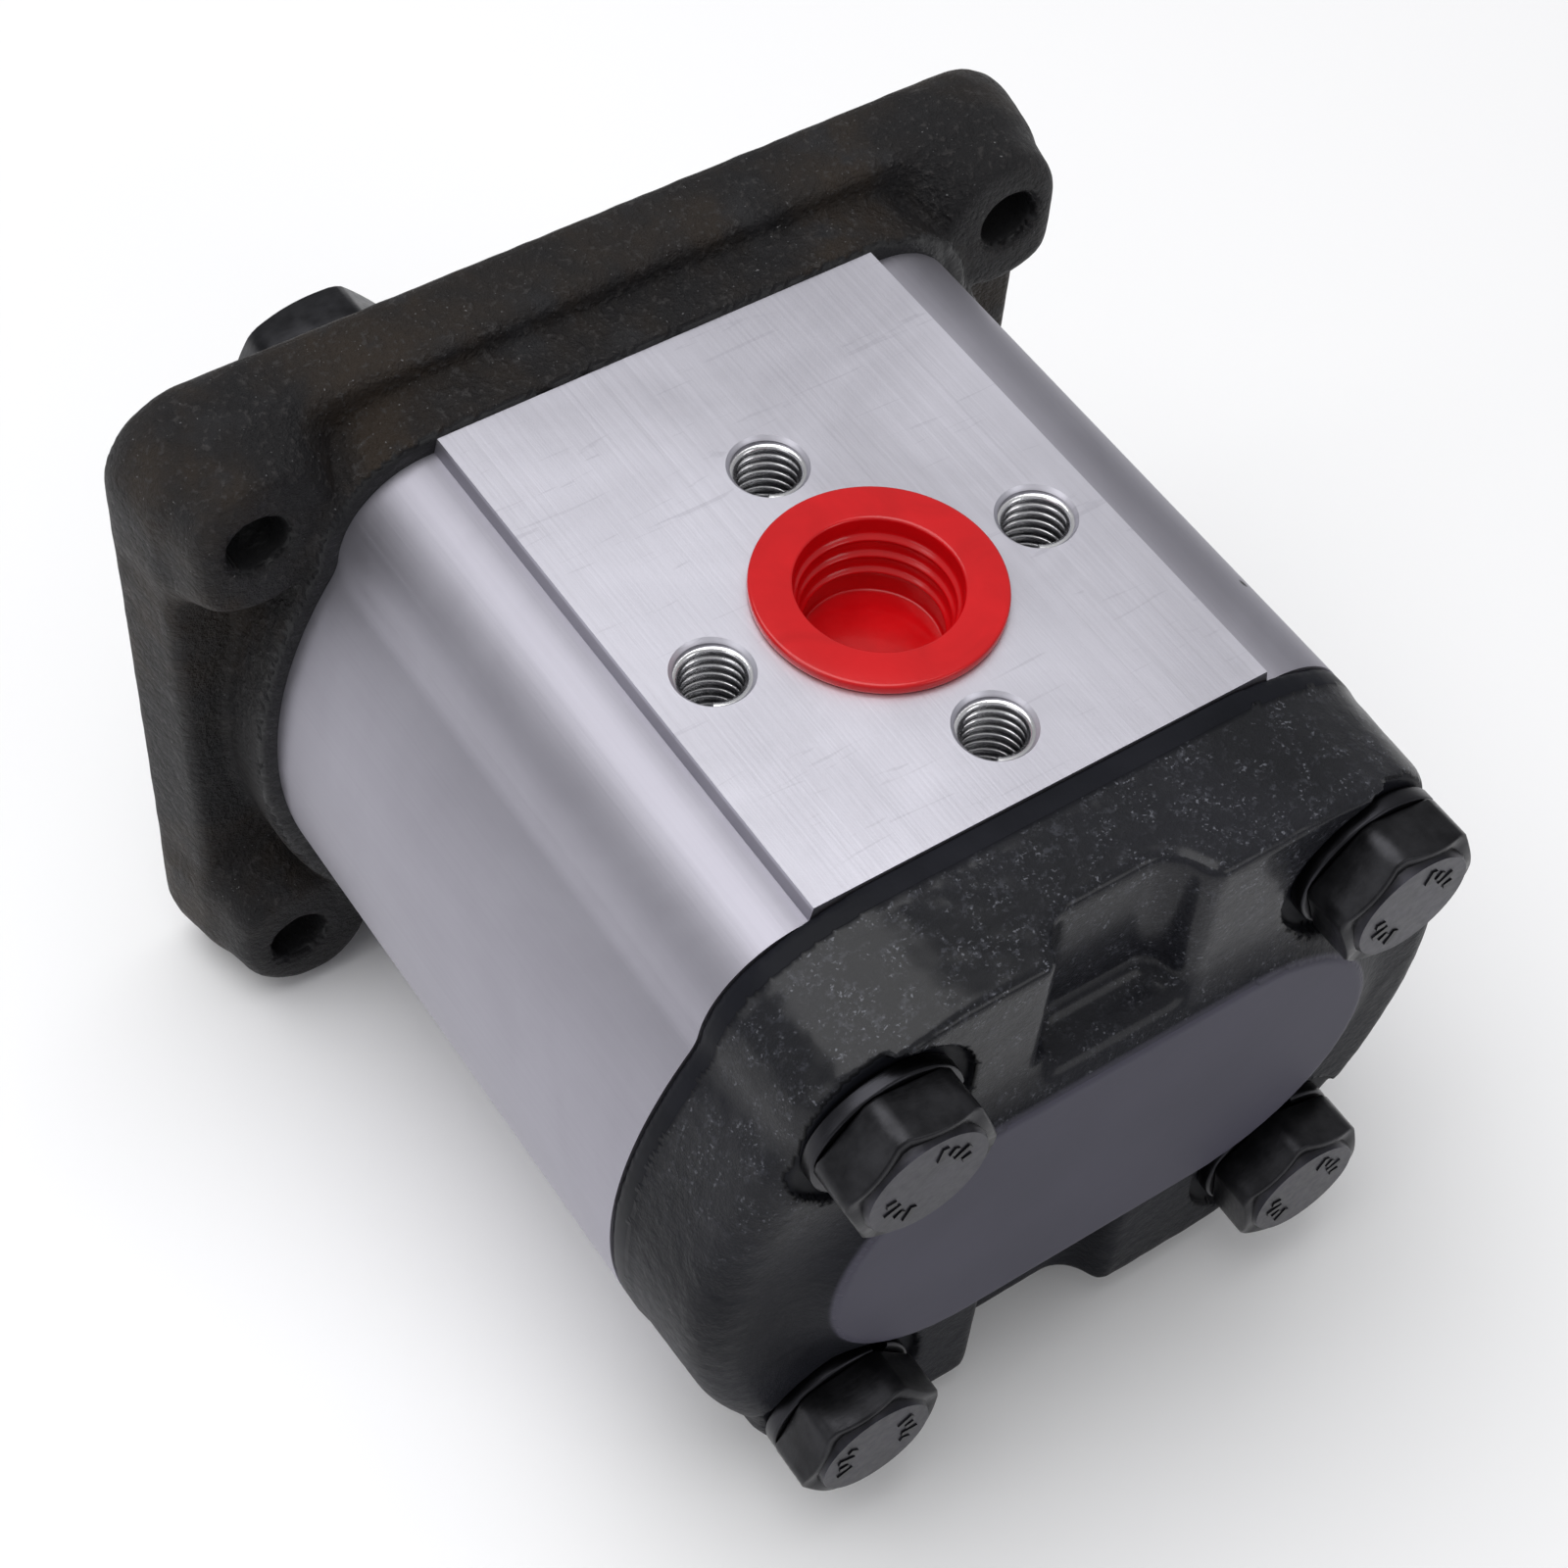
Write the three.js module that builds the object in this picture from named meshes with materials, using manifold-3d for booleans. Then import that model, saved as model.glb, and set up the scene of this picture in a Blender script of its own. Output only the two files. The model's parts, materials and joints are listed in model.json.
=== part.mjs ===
// Hydraulic gear pump, group 2 size, with a four-hole mounting flange and a 1:8 taper shaft.
//
// Frame, in millimetres: the drive shaft turns about +Y and points forward out of the mounting
// face, which lies at Y = 0. The idler gear sits beside the drive gear on +X. The inlet port
// opens upward on +Z and the outlet port opens downward on -Z.

import * as THREE from 'three';
import { mergeVertices } from 'three/addons/utils/BufferGeometryUtils.js';
import Module from 'manifold-3d';

const wasm = await Module();
wasm.setup();

// ---------------------------------------------------------------- driving dimensions

// Gears
const gearModule = 2.6;
const gearTeeth = 12;
const gearWidth = 28;
const pressureAngle = THREE.MathUtils.degToRad(20);
const toothTipShortening = 0.1;
const toothRootSpace = 0.45;
const toothBacklash = 0.3;

// Housing stack, from the mounting face back to the end of the rear cover
const flangeThickness = 17.3;
const bodyLength = 69.4;
const coverThickness = 17;
const portToFlangeJoint = 40.7;

// Housing outline, seen along the shafts
const housingHeight = 82.8;
const portFaceWidth = 55;
const housingSideRadius = 49;
const lobeRadius = 11.3;
const lobeInset = 1.25;
const faceStepRun = 0.9;
const blendRun = 6;

// Assembly bolts, M10, through the cover and body into the flange
const boltSpacingX = 59.7;
const boltSpacingZ = 56.4;
const boltDiameter = 10;
const boltHeadFlatsInDiameters = 1.6;
const boltHeadHeightInDiameters = 0.64;
const springWasherWidth = 3.5;
const springWasherThickness = 2.2;
const springWasherGapAngle = 14;
const boltSeatMargin = 1.7;
const boltSeatDepth = 1.5;
const boltTapDepth = 14;
const boltTipSpace = 1.1;
const boltTipChamfer = 1.2;
const boltHeadTurns = [9, 10, 50, 20];

// Mounting flange
const mountHoleSpacingX = 96.2;
const mountHoleSpacingZ = 71.5;
const mountHoleDiameter = 7.2;
const flangeCornerRadius = 10.1;
const flangePlateThickness = 10;
const flangeFrontChamfer = 1.2;
const flangeDraftSide = 3.2;
const flangeDraftTop = 0.9;
const earTopRadius = 9.2;
const earFootRadius = 12.5;
const earStep = 0.8;
const seatMarginSide = 2.4;
const seatMarginTop = 0.8;
const spigotDiameter = 36.5;
const spigotHeight = 6;
const spigotChamfer = 1;

// Drive shaft end: seal land, 1:8 taper, thread M14 x 1.5
const journalDiameter = 16;
const sealLandDiameter = 17;
const taperStart = 7;
const taperLength = 18.5;
const taperRatio = 8;
const shaftThreadDiameter = 14;
const shaftThreadLength = 13;
const shaftThreadChamfer = 1;
const shaftEndChamfer = 0.8;
const keyWidth = 3.2;
const keyDiscDiameter = 16;
const keyHeight = 6.2;
const keySlotDepth = 3.6;
const keyPlace = 14.5;
const shaftWasherOuter = 24;
const shaftWasherThickness = 2.5;
const shaftNutFlats = 21;
const shaftNutHeight = 8.5;
const shaftNutTurn = 50;
const hexChamferCircle = 0.94;

// Lip seal and its circlip
const sealOuterDiameter = 30;
const sealWidth = 7;
const sealLipWidth = 2.2;
const sealLipRise = 1.2;
const sealShellWall = 2;
const sealShellFloor = 1.4;
const circlipWidth = 1.2;
const circlipGrooveDepth = 0.7;
const circlipRadialWidth = 2.4;
const circlipOpeningAngle = 50;
const circlipEarAngle = 18;
const circlipEarHeight = 1;
const circlipEdge = 1.3;
const shaftPassageDiameter = 20;

// Bearing blocks and their lined bushes
const bushWall = 1.5;
const bushInset = 1;
const reliefWidth = 4.4;
const reliefLength = 5;
const reliefFromCentre = 1.4;
const reliefDepth = 0.8;

// Seals between the housing parts
const bodySealWidth = 2.2;
const bodySealDepth = 1.8;
const bodySealWall = 1.6;
const balanceSealWidth = 2.2;
const balanceSealDepth = 2.2;
const balanceSealRim = 1.6;
const backupWidth = 1.1;
const balanceArcEnd = 148;
const balanceNeckAngle = 0.1;

// Ports, their tapped holes and their transit plugs
const inletBore = 20;
const inletPitchCircle = 40;
const inletThread = 8;
const outletBore = 15;
const outletPitchCircle = 35;
const outletThread = 6;
const threadDepthInDiameters = 1.85;
const threadChamfer = 0.35;
const plugRimWidth = 3.35;
const plugRimThickness = 1.3;
const plugCupDepth = 10;
const plugWall = 1.1;
const plugFloor = 1.4;
const plugLeadIn = 0.8;

// Dowels between the body and its two end pieces
const dowelDiameter = 5;
const dowelDepth = 5;
const dowelOffset = 41.5;
const dowelChamfer = 0.4;

// Rear cover
const bossRadius = 18.6;
const bossHeight = 2.4;
const coverEdgeChamfer = 2;
const pocketWidth = 19;
const pocketShift = -1.6;
const pocketDepth = 4.8;
const pocketInnerZ = 21.4;

// Clearances
const runningGap = 0.3;
const fitGap = 0.15;
const boltGap = 0.3;
const jointGap = 0.02;

// Thin slices that a drafted solid is stretched between
const sliceThickness = 0.05;

// ---------------------------------------------------------------- values that follow

const toothAddendum = gearModule - toothTipShortening;
const toothDedendum = gearModule + toothRootSpace;
const centreDistance = gearModule * gearTeeth;
const pitchRadius = centreDistance / 2;
const tipRadius = pitchRadius + toothAddendum;
const rootRadius = pitchRadius - toothDedendum;
const chamberRadius = tipRadius + runningGap;
const balanceSealRadius = chamberRadius - balanceSealRim - balanceSealWidth;
const middleX = centreDistance / 2;
const jointFrontY = -flangeThickness;
const jointRearY = jointFrontY - bodyLength;
const coverRearY = jointRearY - coverThickness;
const bossFaceY = coverRearY - bossHeight;
const portY = jointFrontY - portToFlangeJoint;
const blockLength = (bodyLength - gearWidth) / 2 - 2 * runningGap;
const gearFrontY = jointFrontY - blockLength - 2 * runningGap;
const gearRearY = gearFrontY - gearWidth;
const shaftRearY = jointRearY + runningGap + 1;
const taperEnd = taperStart + taperLength;
const taperEndDiameter = sealLandDiameter - taperLength / taperRatio;
const threadEnd = taperEnd + shaftThreadLength;
const boltSeatY = coverRearY + boltSeatDepth;
const boltHeadSeatY = boltSeatY - springWasherThickness;
const boltLength = jointFrontY + boltTapDepth - boltTipSpace - boltHeadSeatY;
const boltHeadFlats = boltHeadFlatsInDiameters * boltDiameter;
const boltHeadHeight = boltHeadHeightInDiameters * boltDiameter;
const springWasherInner = boltDiameter + 2 * boltGap;
const springWasherOuter = springWasherInner + 2 * springWasherWidth;
const boltSeatDiameter = springWasherOuter + 2 * boltSeatMargin;
const lobeCentreX = boltSpacingX / 2 - lobeInset;
const lobeCentreZ = boltSpacingZ / 2;
const bushOuter = journalDiameter + 2 * (runningGap + bushWall);
const bodySealInner = chamberRadius + bodySealWall;

const boltPlaces = [
  [-1, 1],
  [1, 1],
  [-1, -1],
  [1, -1],
].map(([sx, sz]) => [middleX + sx * boltSpacingX / 2, sz * boltSpacingZ / 2]);

const mountHolePlaces = [
  [-1, 1],
  [1, 1],
  [-1, -1],
  [1, -1],
].map(([sx, sz]) => [middleX + sx * mountHoleSpacingX / 2, sz * mountHoleSpacingZ / 2]);

// ---------------------------------------------------------------- finishes

function finish(color, roughness, metalness) {
  return new THREE.MeshStandardMaterial({ color, roughness, metalness });
}

const castIronBrown = finish(0x2b2826, 0.85, 0.35);
const castIronBlack = finish(0x26282d, 0.6, 0.4);
const aluminium = finish(0xc9c8cf, 0.38, 0.9);
const blackSteel = finish(0x1d1d20, 0.45, 0.8);
const gearSteel = finish(0x8d8f94, 0.3, 1);
const springSteel = finish(0x35363b, 0.4, 0.9);
const shaftHardware = finish(0x222226, 0.45, 0.8);
const bearingAlloy = finish(0xb5b2ab, 0.45, 0.85);
const bushLining = finish(0x6f6a5a, 0.5, 0.7);
const rubber = finish(0x141414, 0.75, 0);
const backupPolymer = finish(0xe6e0cf, 0.5, 0);
const plugPlastic = finish(0xd8202a, 0.3, 0);

// ---------------------------------------------------------------- solid helpers

function toSolid(geometry) {
  const bare = geometry.clone();
  bare.deleteAttribute('normal');
  bare.deleteAttribute('uv');
  const merged = mergeVertices(bare);
  return new wasm.Manifold(new wasm.Mesh({
    numProp: 3,
    vertProperties: new Float32Array(merged.attributes.position.array),
    triVerts: new Uint32Array(merged.index.array),
  }));
}

function toGeometry(solid) {
  const mesh = solid.getMesh();
  const geometry = new THREE.BufferGeometry();
  geometry.setAttribute('position', new THREE.BufferAttribute(mesh.vertProperties, 3));
  geometry.setIndex(new THREE.BufferAttribute(mesh.triVerts, 1));
  geometry.computeVertexNormals();
  return geometry;
}

function joined(first, ...others) {
  return others.reduce((solid, other) => solid.add(other), first);
}

function cutFrom(first, ...tools) {
  return tools.reduce((solid, tool) => solid.subtract(tool), first);
}

// A prism whose section is drawn in X and Z and which runs from yBack to yFront.
function prismY(shape, yBack, yFront, curveSegments = 6) {
  const geometry = new THREE.ExtrudeGeometry(shape, {
    depth: yFront - yBack,
    bevelEnabled: false,
    curveSegments,
  });
  geometry.rotateX(Math.PI / 2);
  geometry.translate(0, yFront, 0);
  return geometry;
}

// A turned piece about an axis along Y; the profile is a list of [radius, y].
function turnedY(profile, x, z, segments = 24) {
  const points = profile.map(([radius, y]) => new THREE.Vector2(radius, y));
  const geometry = new THREE.LatheGeometry(points, segments);
  geometry.translate(x, 0, z);
  return geometry;
}

function cylinderY(radius, yBack, yFront, x, z, segments = 12) {
  return toSolid(turnedY([[0, yBack], [radius, yBack], [radius, yFront], [0, yFront]], x, z, segments));
}

// A turned piece about an axis along Z; the profile is a list of [radius, z], upward.
function turnedZ(profile, x, y, segments = 24) {
  const points = profile.map(([radius, z]) => new THREE.Vector2(radius, z));
  const geometry = new THREE.LatheGeometry(points, segments);
  geometry.rotateX(Math.PI / 2);
  geometry.translate(x, y, 0);
  return geometry;
}

function boxBetween(low, high) {
  const geometry = new THREE.BoxGeometry(high[0] - low[0], high[1] - low[1], high[2] - low[2]);
  geometry.translate((low[0] + high[0]) / 2, (low[1] + high[1]) / 2, (low[2] + high[2]) / 2);
  return toSolid(geometry);
}

const model = new THREE.Group();

function place(name, geometryOrSolid, material) {
  const isGeometry = geometryOrSolid.isBufferGeometry === true;
  const geometry = isGeometry ? geometryOrSolid : toGeometry(geometryOrSolid);
  const mesh = new THREE.Mesh(geometry, material);
  mesh.name = name;
  model.add(mesh);
}

// ---------------------------------------------------------------- outlines

// The housing's section: flat port faces above and below, a lobe around each assembly bolt, and
// one large arc on each side. The body has a small step beside each port face; the castings at
// its ends run smoothly down to the lobes instead. The margins grow the seat on the flange.
function housingOutline(marginSide = 0, marginTop = 0, stepped = true) {
  const sideR = housingSideRadius + marginSide;
  const lobeR = lobeRadius + marginSide;
  const topZ = housingHeight / 2 + marginTop;
  const faceX = stepped ? portFaceWidth / 2 : portFaceWidth / 2 - blendRun;
  const span = Math.hypot(lobeCentreX, lobeCentreZ);
  const along = (sideR ** 2 - lobeR ** 2 + span ** 2) / (2 * span);
  const across = Math.sqrt(Math.max(sideR ** 2 - along ** 2, 0));
  const valleyX = (along * lobeCentreX + across * lobeCentreZ) / span;
  const valleyZ = (along * lobeCentreZ - across * lobeCentreX) / span;
  const stepAngle = Math.acos(THREE.MathUtils.clamp((faceX + faceStepRun - lobeCentreX) / lobeR, -1, 1));
  const reach = Math.hypot(faceX - lobeCentreX, topZ - lobeCentreZ);
  const tangentAngle = Math.atan2(topZ - lobeCentreZ, faceX - lobeCentreX) - Math.acos(lobeR / reach);
  const startAngle = stepped ? stepAngle : tangentAngle;
  const endAngle = Math.atan2(valleyZ - lobeCentreZ, valleyX - lobeCentreX);
  const sideAngle = Math.atan2(valleyZ, valleyX);
  const shape = new THREE.Shape();
  shape.moveTo(middleX + faceX, topZ);
  shape.lineTo(middleX - faceX, topZ);
  shape.absarc(middleX - lobeCentreX, lobeCentreZ, lobeR, Math.PI - startAngle, Math.PI - endAngle, false);
  shape.absarc(middleX, 0, sideR, Math.PI - sideAngle, Math.PI + sideAngle, false);
  shape.absarc(middleX - lobeCentreX, -lobeCentreZ, lobeR, Math.PI + endAngle, Math.PI + startAngle, false);
  shape.lineTo(middleX - faceX, -topZ);
  shape.lineTo(middleX + faceX, -topZ);
  shape.absarc(middleX + lobeCentreX, -lobeCentreZ, lobeR, -startAngle, -endAngle, false);
  shape.absarc(middleX, 0, sideR, -sideAngle, sideAngle, false);
  shape.absarc(middleX + lobeCentreX, lobeCentreZ, lobeR, endAngle, startAngle, false);
  shape.closePath();
  return shape;
}

// The figure-eight of the two gear bores, at a given radius.
function twinBorePath(radius, target = new THREE.Shape()) {
  const half = Math.acos(middleX / radius);
  target.absarc(0, 0, radius, half, 2 * Math.PI - half, false);
  target.absarc(centreDistance, 0, radius, Math.PI + half, 3 * Math.PI - half, false);
  target.closePath();
  return target;
}

// An obround around both shafts, at a given radius.
function obroundPath(radius, target = new THREE.Shape()) {
  target.absarc(0, 0, radius, Math.PI / 2, 3 * Math.PI / 2, false);
  target.absarc(centreDistance, 0, radius, -Math.PI / 2, Math.PI / 2, false);
  target.closePath();
  return target;
}

function circleHole(x, z, radius) {
  const path = new THREE.Path();
  path.absarc(x, z, radius, 0, 2 * Math.PI, false);
  return path;
}

function roundedPlate(halfX, halfZ, radius) {
  const shape = new THREE.Shape();
  shape.absarc(middleX + halfX - radius, halfZ - radius, radius, 0, Math.PI / 2, false);
  shape.absarc(middleX - halfX + radius, halfZ - radius, radius, Math.PI / 2, Math.PI, false);
  shape.absarc(middleX - halfX + radius, -halfZ + radius, radius, Math.PI, 3 * Math.PI / 2, false);
  shape.absarc(middleX + halfX - radius, -halfZ + radius, radius, -Math.PI / 2, 0, false);
  shape.closePath();
  return shape;
}

// ---------------------------------------------------------------- front mounting flange

// Cast iron plate with four raised ears, a raised seat for the pump body and a pilot spigot.
function frontFlange() {
  const halfX = mountHoleSpacingX / 2 + flangeCornerRadius;
  const halfZ = mountHoleSpacingZ / 2 + flangeCornerRadius;
  const plateBackY = -flangePlateThickness;
  const earTopY = jointFrontY + earStep;
  const slice = (inX, inZ, y) => toSolid(prismY(
    roundedPlate(halfX - inX, halfZ - inZ, flangeCornerRadius - inZ),
    y - sliceThickness,
    y,
  ));
  const chamfer = flangeFrontChamfer;
  const drafted = wasm.Manifold.hull([
    slice(chamfer, chamfer, 0),
    slice(0, 0, -chamfer),
    slice(flangeDraftSide, flangeDraftTop, earTopY),
  ]);
  const slabX = halfX + 1;
  const slabZ = halfZ + 1;
  const behindPlate = boxBetween(
    [middleX - slabX, earTopY - 1, -slabZ],
    [middleX + slabX, plateBackY, slabZ],
  );
  const plate = drafted.subtract(behindPlate);
  const ears = mountHolePlaces.map(([x, z]) => toSolid(turnedY([
    [0, earTopY],
    [earTopRadius, earTopY],
    [earFootRadius, plateBackY],
    [earFootRadius, plateBackY + 0.5],
    [0, plateBackY + 0.5],
  ], x, z)).intersect(drafted));
  const seatShape = housingOutline(seatMarginSide, seatMarginTop, false);
  const seat = toSolid(prismY(seatShape, jointFrontY, plateBackY + 0.5));
  const spigotR = spigotDiameter / 2;
  const spigot = toSolid(turnedY([
    [0, -1],
    [spigotR, -1],
    [spigotR, spigotHeight - spigotChamfer],
    [spigotR - spigotChamfer, spigotHeight],
    [0, spigotHeight],
  ], 0, 0, 32));
  const sealR = sealOuterDiameter / 2;
  const grooveR = sealR + circlipGrooveDepth;
  const grooveFrontY = spigotHeight - circlipEdge;
  const grooveBackY = grooveFrontY - circlipWidth - fitGap;
  const sealBottomY = grooveBackY - sealWidth - 2 * fitGap;
  const passageR = shaftPassageDiameter / 2;
  const bore = toSolid(turnedY([
    [0, jointFrontY - 1],
    [passageR, jointFrontY - 1],
    [passageR, sealBottomY],
    [sealR + fitGap, sealBottomY],
    [sealR + fitGap, grooveBackY],
    [grooveR, grooveBackY],
    [grooveR, grooveFrontY],
    [sealR + fitGap, grooveFrontY],
    [sealR + fitGap, spigotHeight + 1],
    [0, spigotHeight + 1],
  ], 0, 0));
  const mountHoles = mountHolePlaces.map(([x, z]) =>
    cylinderY(mountHoleDiameter / 2, jointFrontY - 1, 1, x, z, 16));
  const boltHoles = boltPlaces.map(([x, z]) =>
    cylinderY(boltDiameter / 2 + boltGap, jointFrontY - 1, jointFrontY + boltTapDepth, x, z));
  const dowelHoles = [-1, 1].map((side) => cylinderY(
    dowelDiameter / 2 + fitGap,
    jointFrontY - 1,
    jointFrontY + dowelDepth + fitGap,
    middleX + side * dowelOffset,
    0,
  ));
  return cutFrom(joined(plate, ...ears, seat, spigot), bore, ...mountHoles, ...boltHoles, ...dowelHoles);
}

place('front_flange', frontFlange(), castIronBrown);

// ---------------------------------------------------------------- pump body

// A port bore with its four tapped holes, on the face that `side` names: +1 inlet, -1 outlet.
function portCuts(side, bore, pitchCircle, thread) {
  const faceZ = housingHeight / 2;
  const turned = (profile, x, y, segments) => {
    const geometry = turnedZ(profile, x, y, segments);
    if (side < 0) geometry.rotateY(Math.PI).translate(2 * x, 0, 0);
    return toSolid(geometry);
  };
  const mouth = threadChamfer + thread / 2;
  const tip = faceZ - thread * threadDepthInDiameters;
  const holeProfile = [
    [0, tip - thread * 0.25],
    [thread / 2, tip],
    [thread / 2, faceZ - threadChamfer],
    [mouth, faceZ],
    [mouth, faceZ + 1],
    [0, faceZ + 1],
  ];
  const boreFloorZ = chamberRadius * 0.35;
  const boreProfile = [[0, boreFloorZ], [bore / 2, boreFloorZ], [bore / 2, faceZ + 1], [0, faceZ + 1]];
  const quarterTurns = [[1, 0], [-1, 0], [0, 1], [0, -1]];
  const threads = quarterTurns.map(([dx, dy]) =>
    turned(holeProfile, middleX + dx * pitchCircle / 2, portY + dy * pitchCircle / 2, 12));
  return [turned(boreProfile, middleX, portY, 24), ...threads];
}

function sealGroove(yBack, yFront) {
  const ring = obroundPath(bodySealInner + bodySealWidth);
  ring.holes.push(obroundPath(bodySealInner, new THREE.Path()));
  return toSolid(prismY(ring, yBack, yFront, 8));
}

function pumpBody() {
  const outline = housingOutline();
  boltPlaces.forEach(([x, z]) => outline.holes.push(circleHole(x, z, boltDiameter / 2 + boltGap)));
  const block = toSolid(prismY(outline, jointRearY + jointGap, jointFrontY - jointGap));
  const gearBores = [0, centreDistance].map((x) =>
    cylinderY(chamberRadius, jointRearY - 1, jointFrontY + 1, x, 0, 36));
  const dowelHoles = [-1, 1].flatMap((side) => {
    const x = middleX + side * dowelOffset;
    const radius = dowelDiameter / 2 + fitGap;
    return [
      cylinderY(radius, jointFrontY - dowelDepth - fitGap, jointFrontY + 1, x, 0),
      cylinderY(radius, jointRearY - 1, jointRearY + dowelDepth + fitGap, x, 0),
    ];
  });
  return cutFrom(
    block,
    ...gearBores,
    ...portCuts(1, inletBore, inletPitchCircle, inletThread),
    ...portCuts(-1, outletBore, outletPitchCircle, outletThread),
    ...dowelHoles,
    sealGroove(jointFrontY - bodySealDepth, jointFrontY + 1),
    sealGroove(jointRearY - 1, jointRearY + bodySealDepth),
  );
}

place('pump_body', pumpBody(), aluminium);

// ---------------------------------------------------------------- rear cover

// Cast iron cover with an obround boss over both shafts, a spot-faced seat for each bolt and a
// scooped pocket between the bolts above and below.
function rearCover() {
  const outline = housingOutline(0, 0, false);
  boltPlaces.forEach(([x, z]) => outline.holes.push(circleHole(x, z, boltDiameter / 2 + boltGap)));
  const chamferStartY = coverRearY + coverEdgeChamfer;
  const front = toSolid(prismY(outline, chamferStartY - 0.5, jointRearY));
  const bevelled = new THREE.ExtrudeGeometry(housingOutline(0, 0, false), {
    depth: coverThickness - 2 * coverEdgeChamfer - 1,
    bevelEnabled: true,
    bevelThickness: coverEdgeChamfer,
    bevelSize: coverEdgeChamfer,
    bevelOffset: -coverEdgeChamfer,
    bevelSegments: 1,
    curveSegments: 6,
  });
  bevelled.rotateX(Math.PI / 2);
  bevelled.translate(0, jointRearY - coverEdgeChamfer - 1, 0);
  const boss = toSolid(prismY(obroundPath(bossRadius), bossFaceY, coverRearY + 1, 10));
  const reach = housingHeight / 2 + 2;
  const pockets = [-1, 1].map((side) => {
    const centreX = middleX + pocketShift;
    const innerHalf = pocketWidth / 2 - pocketDepth * 0.5;
    const shape = new THREE.Shape();
    shape.moveTo(centreX - innerHalf, coverRearY + pocketDepth);
    shape.lineTo(centreX - pocketWidth / 2, coverRearY - 1);
    shape.lineTo(centreX + pocketWidth / 2, coverRearY - 1);
    shape.lineTo(centreX + innerHalf, coverRearY + pocketDepth);
    shape.closePath();
    const geometry = new THREE.ExtrudeGeometry(shape, { depth: reach - pocketInnerZ, bevelEnabled: false });
    geometry.translate(0, 0, side > 0 ? pocketInnerZ : -reach);
    return toSolid(geometry);
  });
  const seats = boltPlaces.map(([x, z]) =>
    cylinderY(boltSeatDiameter / 2, bossFaceY - 1, boltSeatY, x, z, 20));
  const boltHoles = boltPlaces.map(([x, z]) =>
    cylinderY(boltDiameter / 2 + boltGap, bossFaceY - 1, jointRearY + 1, x, z));
  const dowelHoles = [-1, 1].map((side) => cylinderY(
    dowelDiameter / 2 + fitGap,
    jointRearY - dowelDepth - fitGap,
    jointRearY + 1,
    middleX + side * dowelOffset,
    0,
  ));
  return cutFrom(
    joined(front, toSolid(bevelled), boss),
    ...pockets,
    ...seats,
    ...boltHoles,
    ...dowelHoles,
  );
}

place('rear_cover', rearCover(), castIronBlack);

// ---------------------------------------------------------------- gears on their shafts

// One gear's outline about its own centre, with a tooth on the +X side when phase is 0.
function gearOutline(phase) {
  const baseRadius = pitchRadius * Math.cos(pressureAngle);
  const involute = (radius) => {
    const angle = Math.acos(Math.min(baseRadius / radius, 1));
    return Math.tan(angle) - angle;
  };
  const halfTooth = (Math.PI / gearTeeth - toothBacklash / 2 / pitchRadius) / 2;
  const flankAngle = (radius) => halfTooth + involute(pitchRadius) - involute(radius);
  const flankRadii = [0, 0.12, 0.34, 0.62, 1].map((t) => baseRadius + t * (tipRadius - baseRadius));
  const rootAngle = flankAngle(baseRadius) + 0.035;
  const pitchAngle = 2 * Math.PI / gearTeeth;
  const points = [];
  for (let tooth = 0; tooth < gearTeeth; tooth += 1) {
    const middle = tooth * pitchAngle + phase;
    const rising = [[rootRadius, rootAngle], ...flankRadii.map((r) => [r, flankAngle(r)])];
    rising.forEach(([r, a]) => points.push([r, middle - a]));
    points.push([tipRadius, middle]);
    rising.reverse().forEach(([r, a]) => points.push([r, middle + a]));
    points.push([rootRadius - 0.12, middle + pitchAngle / 2]);
  }
  return new THREE.Shape(points.map(([r, a]) => new THREE.Vector2(r * Math.cos(a), r * Math.sin(a))));
}

function gearTeethSolid(x, phase) {
  const geometry = prismY(gearOutline(phase), gearRearY, gearFrontY);
  geometry.translate(x, 0, 0);
  return toSolid(geometry);
}

// Woodruff key: a segment of a disc, standing in the taper on its +Z side.
const keyLineZ = sealLandDiameter / 2 - (keyPlace - taperStart) / taperRatio / 2;
const keyTopZ = keyLineZ + keyHeight - keySlotDepth;
const keyCentreZ = keyTopZ - keyHeight + keyDiscDiameter / 2;

function keyDisc(radius, width, topZ) {
  const halfChord = Math.sqrt(radius ** 2 - Math.min(topZ - keyCentreZ, 0) ** 2);
  const low = Math.asin(THREE.MathUtils.clamp((topZ - keyCentreZ) / radius, -1, 1));
  const shape = new THREE.Shape();
  shape.moveTo(-halfChord, topZ);
  shape.absarc(0, keyCentreZ, radius, Math.PI - low, 2 * Math.PI + low, false);
  shape.closePath();
  const settings = { depth: width, bevelEnabled: false, curveSegments: 14 };
  const geometry = new THREE.ExtrudeGeometry(shape, settings);
  geometry.translate(0, 0, -width / 2);
  geometry.rotateX(Math.PI / 2);
  geometry.rotateZ(Math.PI / 2);
  geometry.translate(0, keyPlace, 0);
  return geometry;
}

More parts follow.
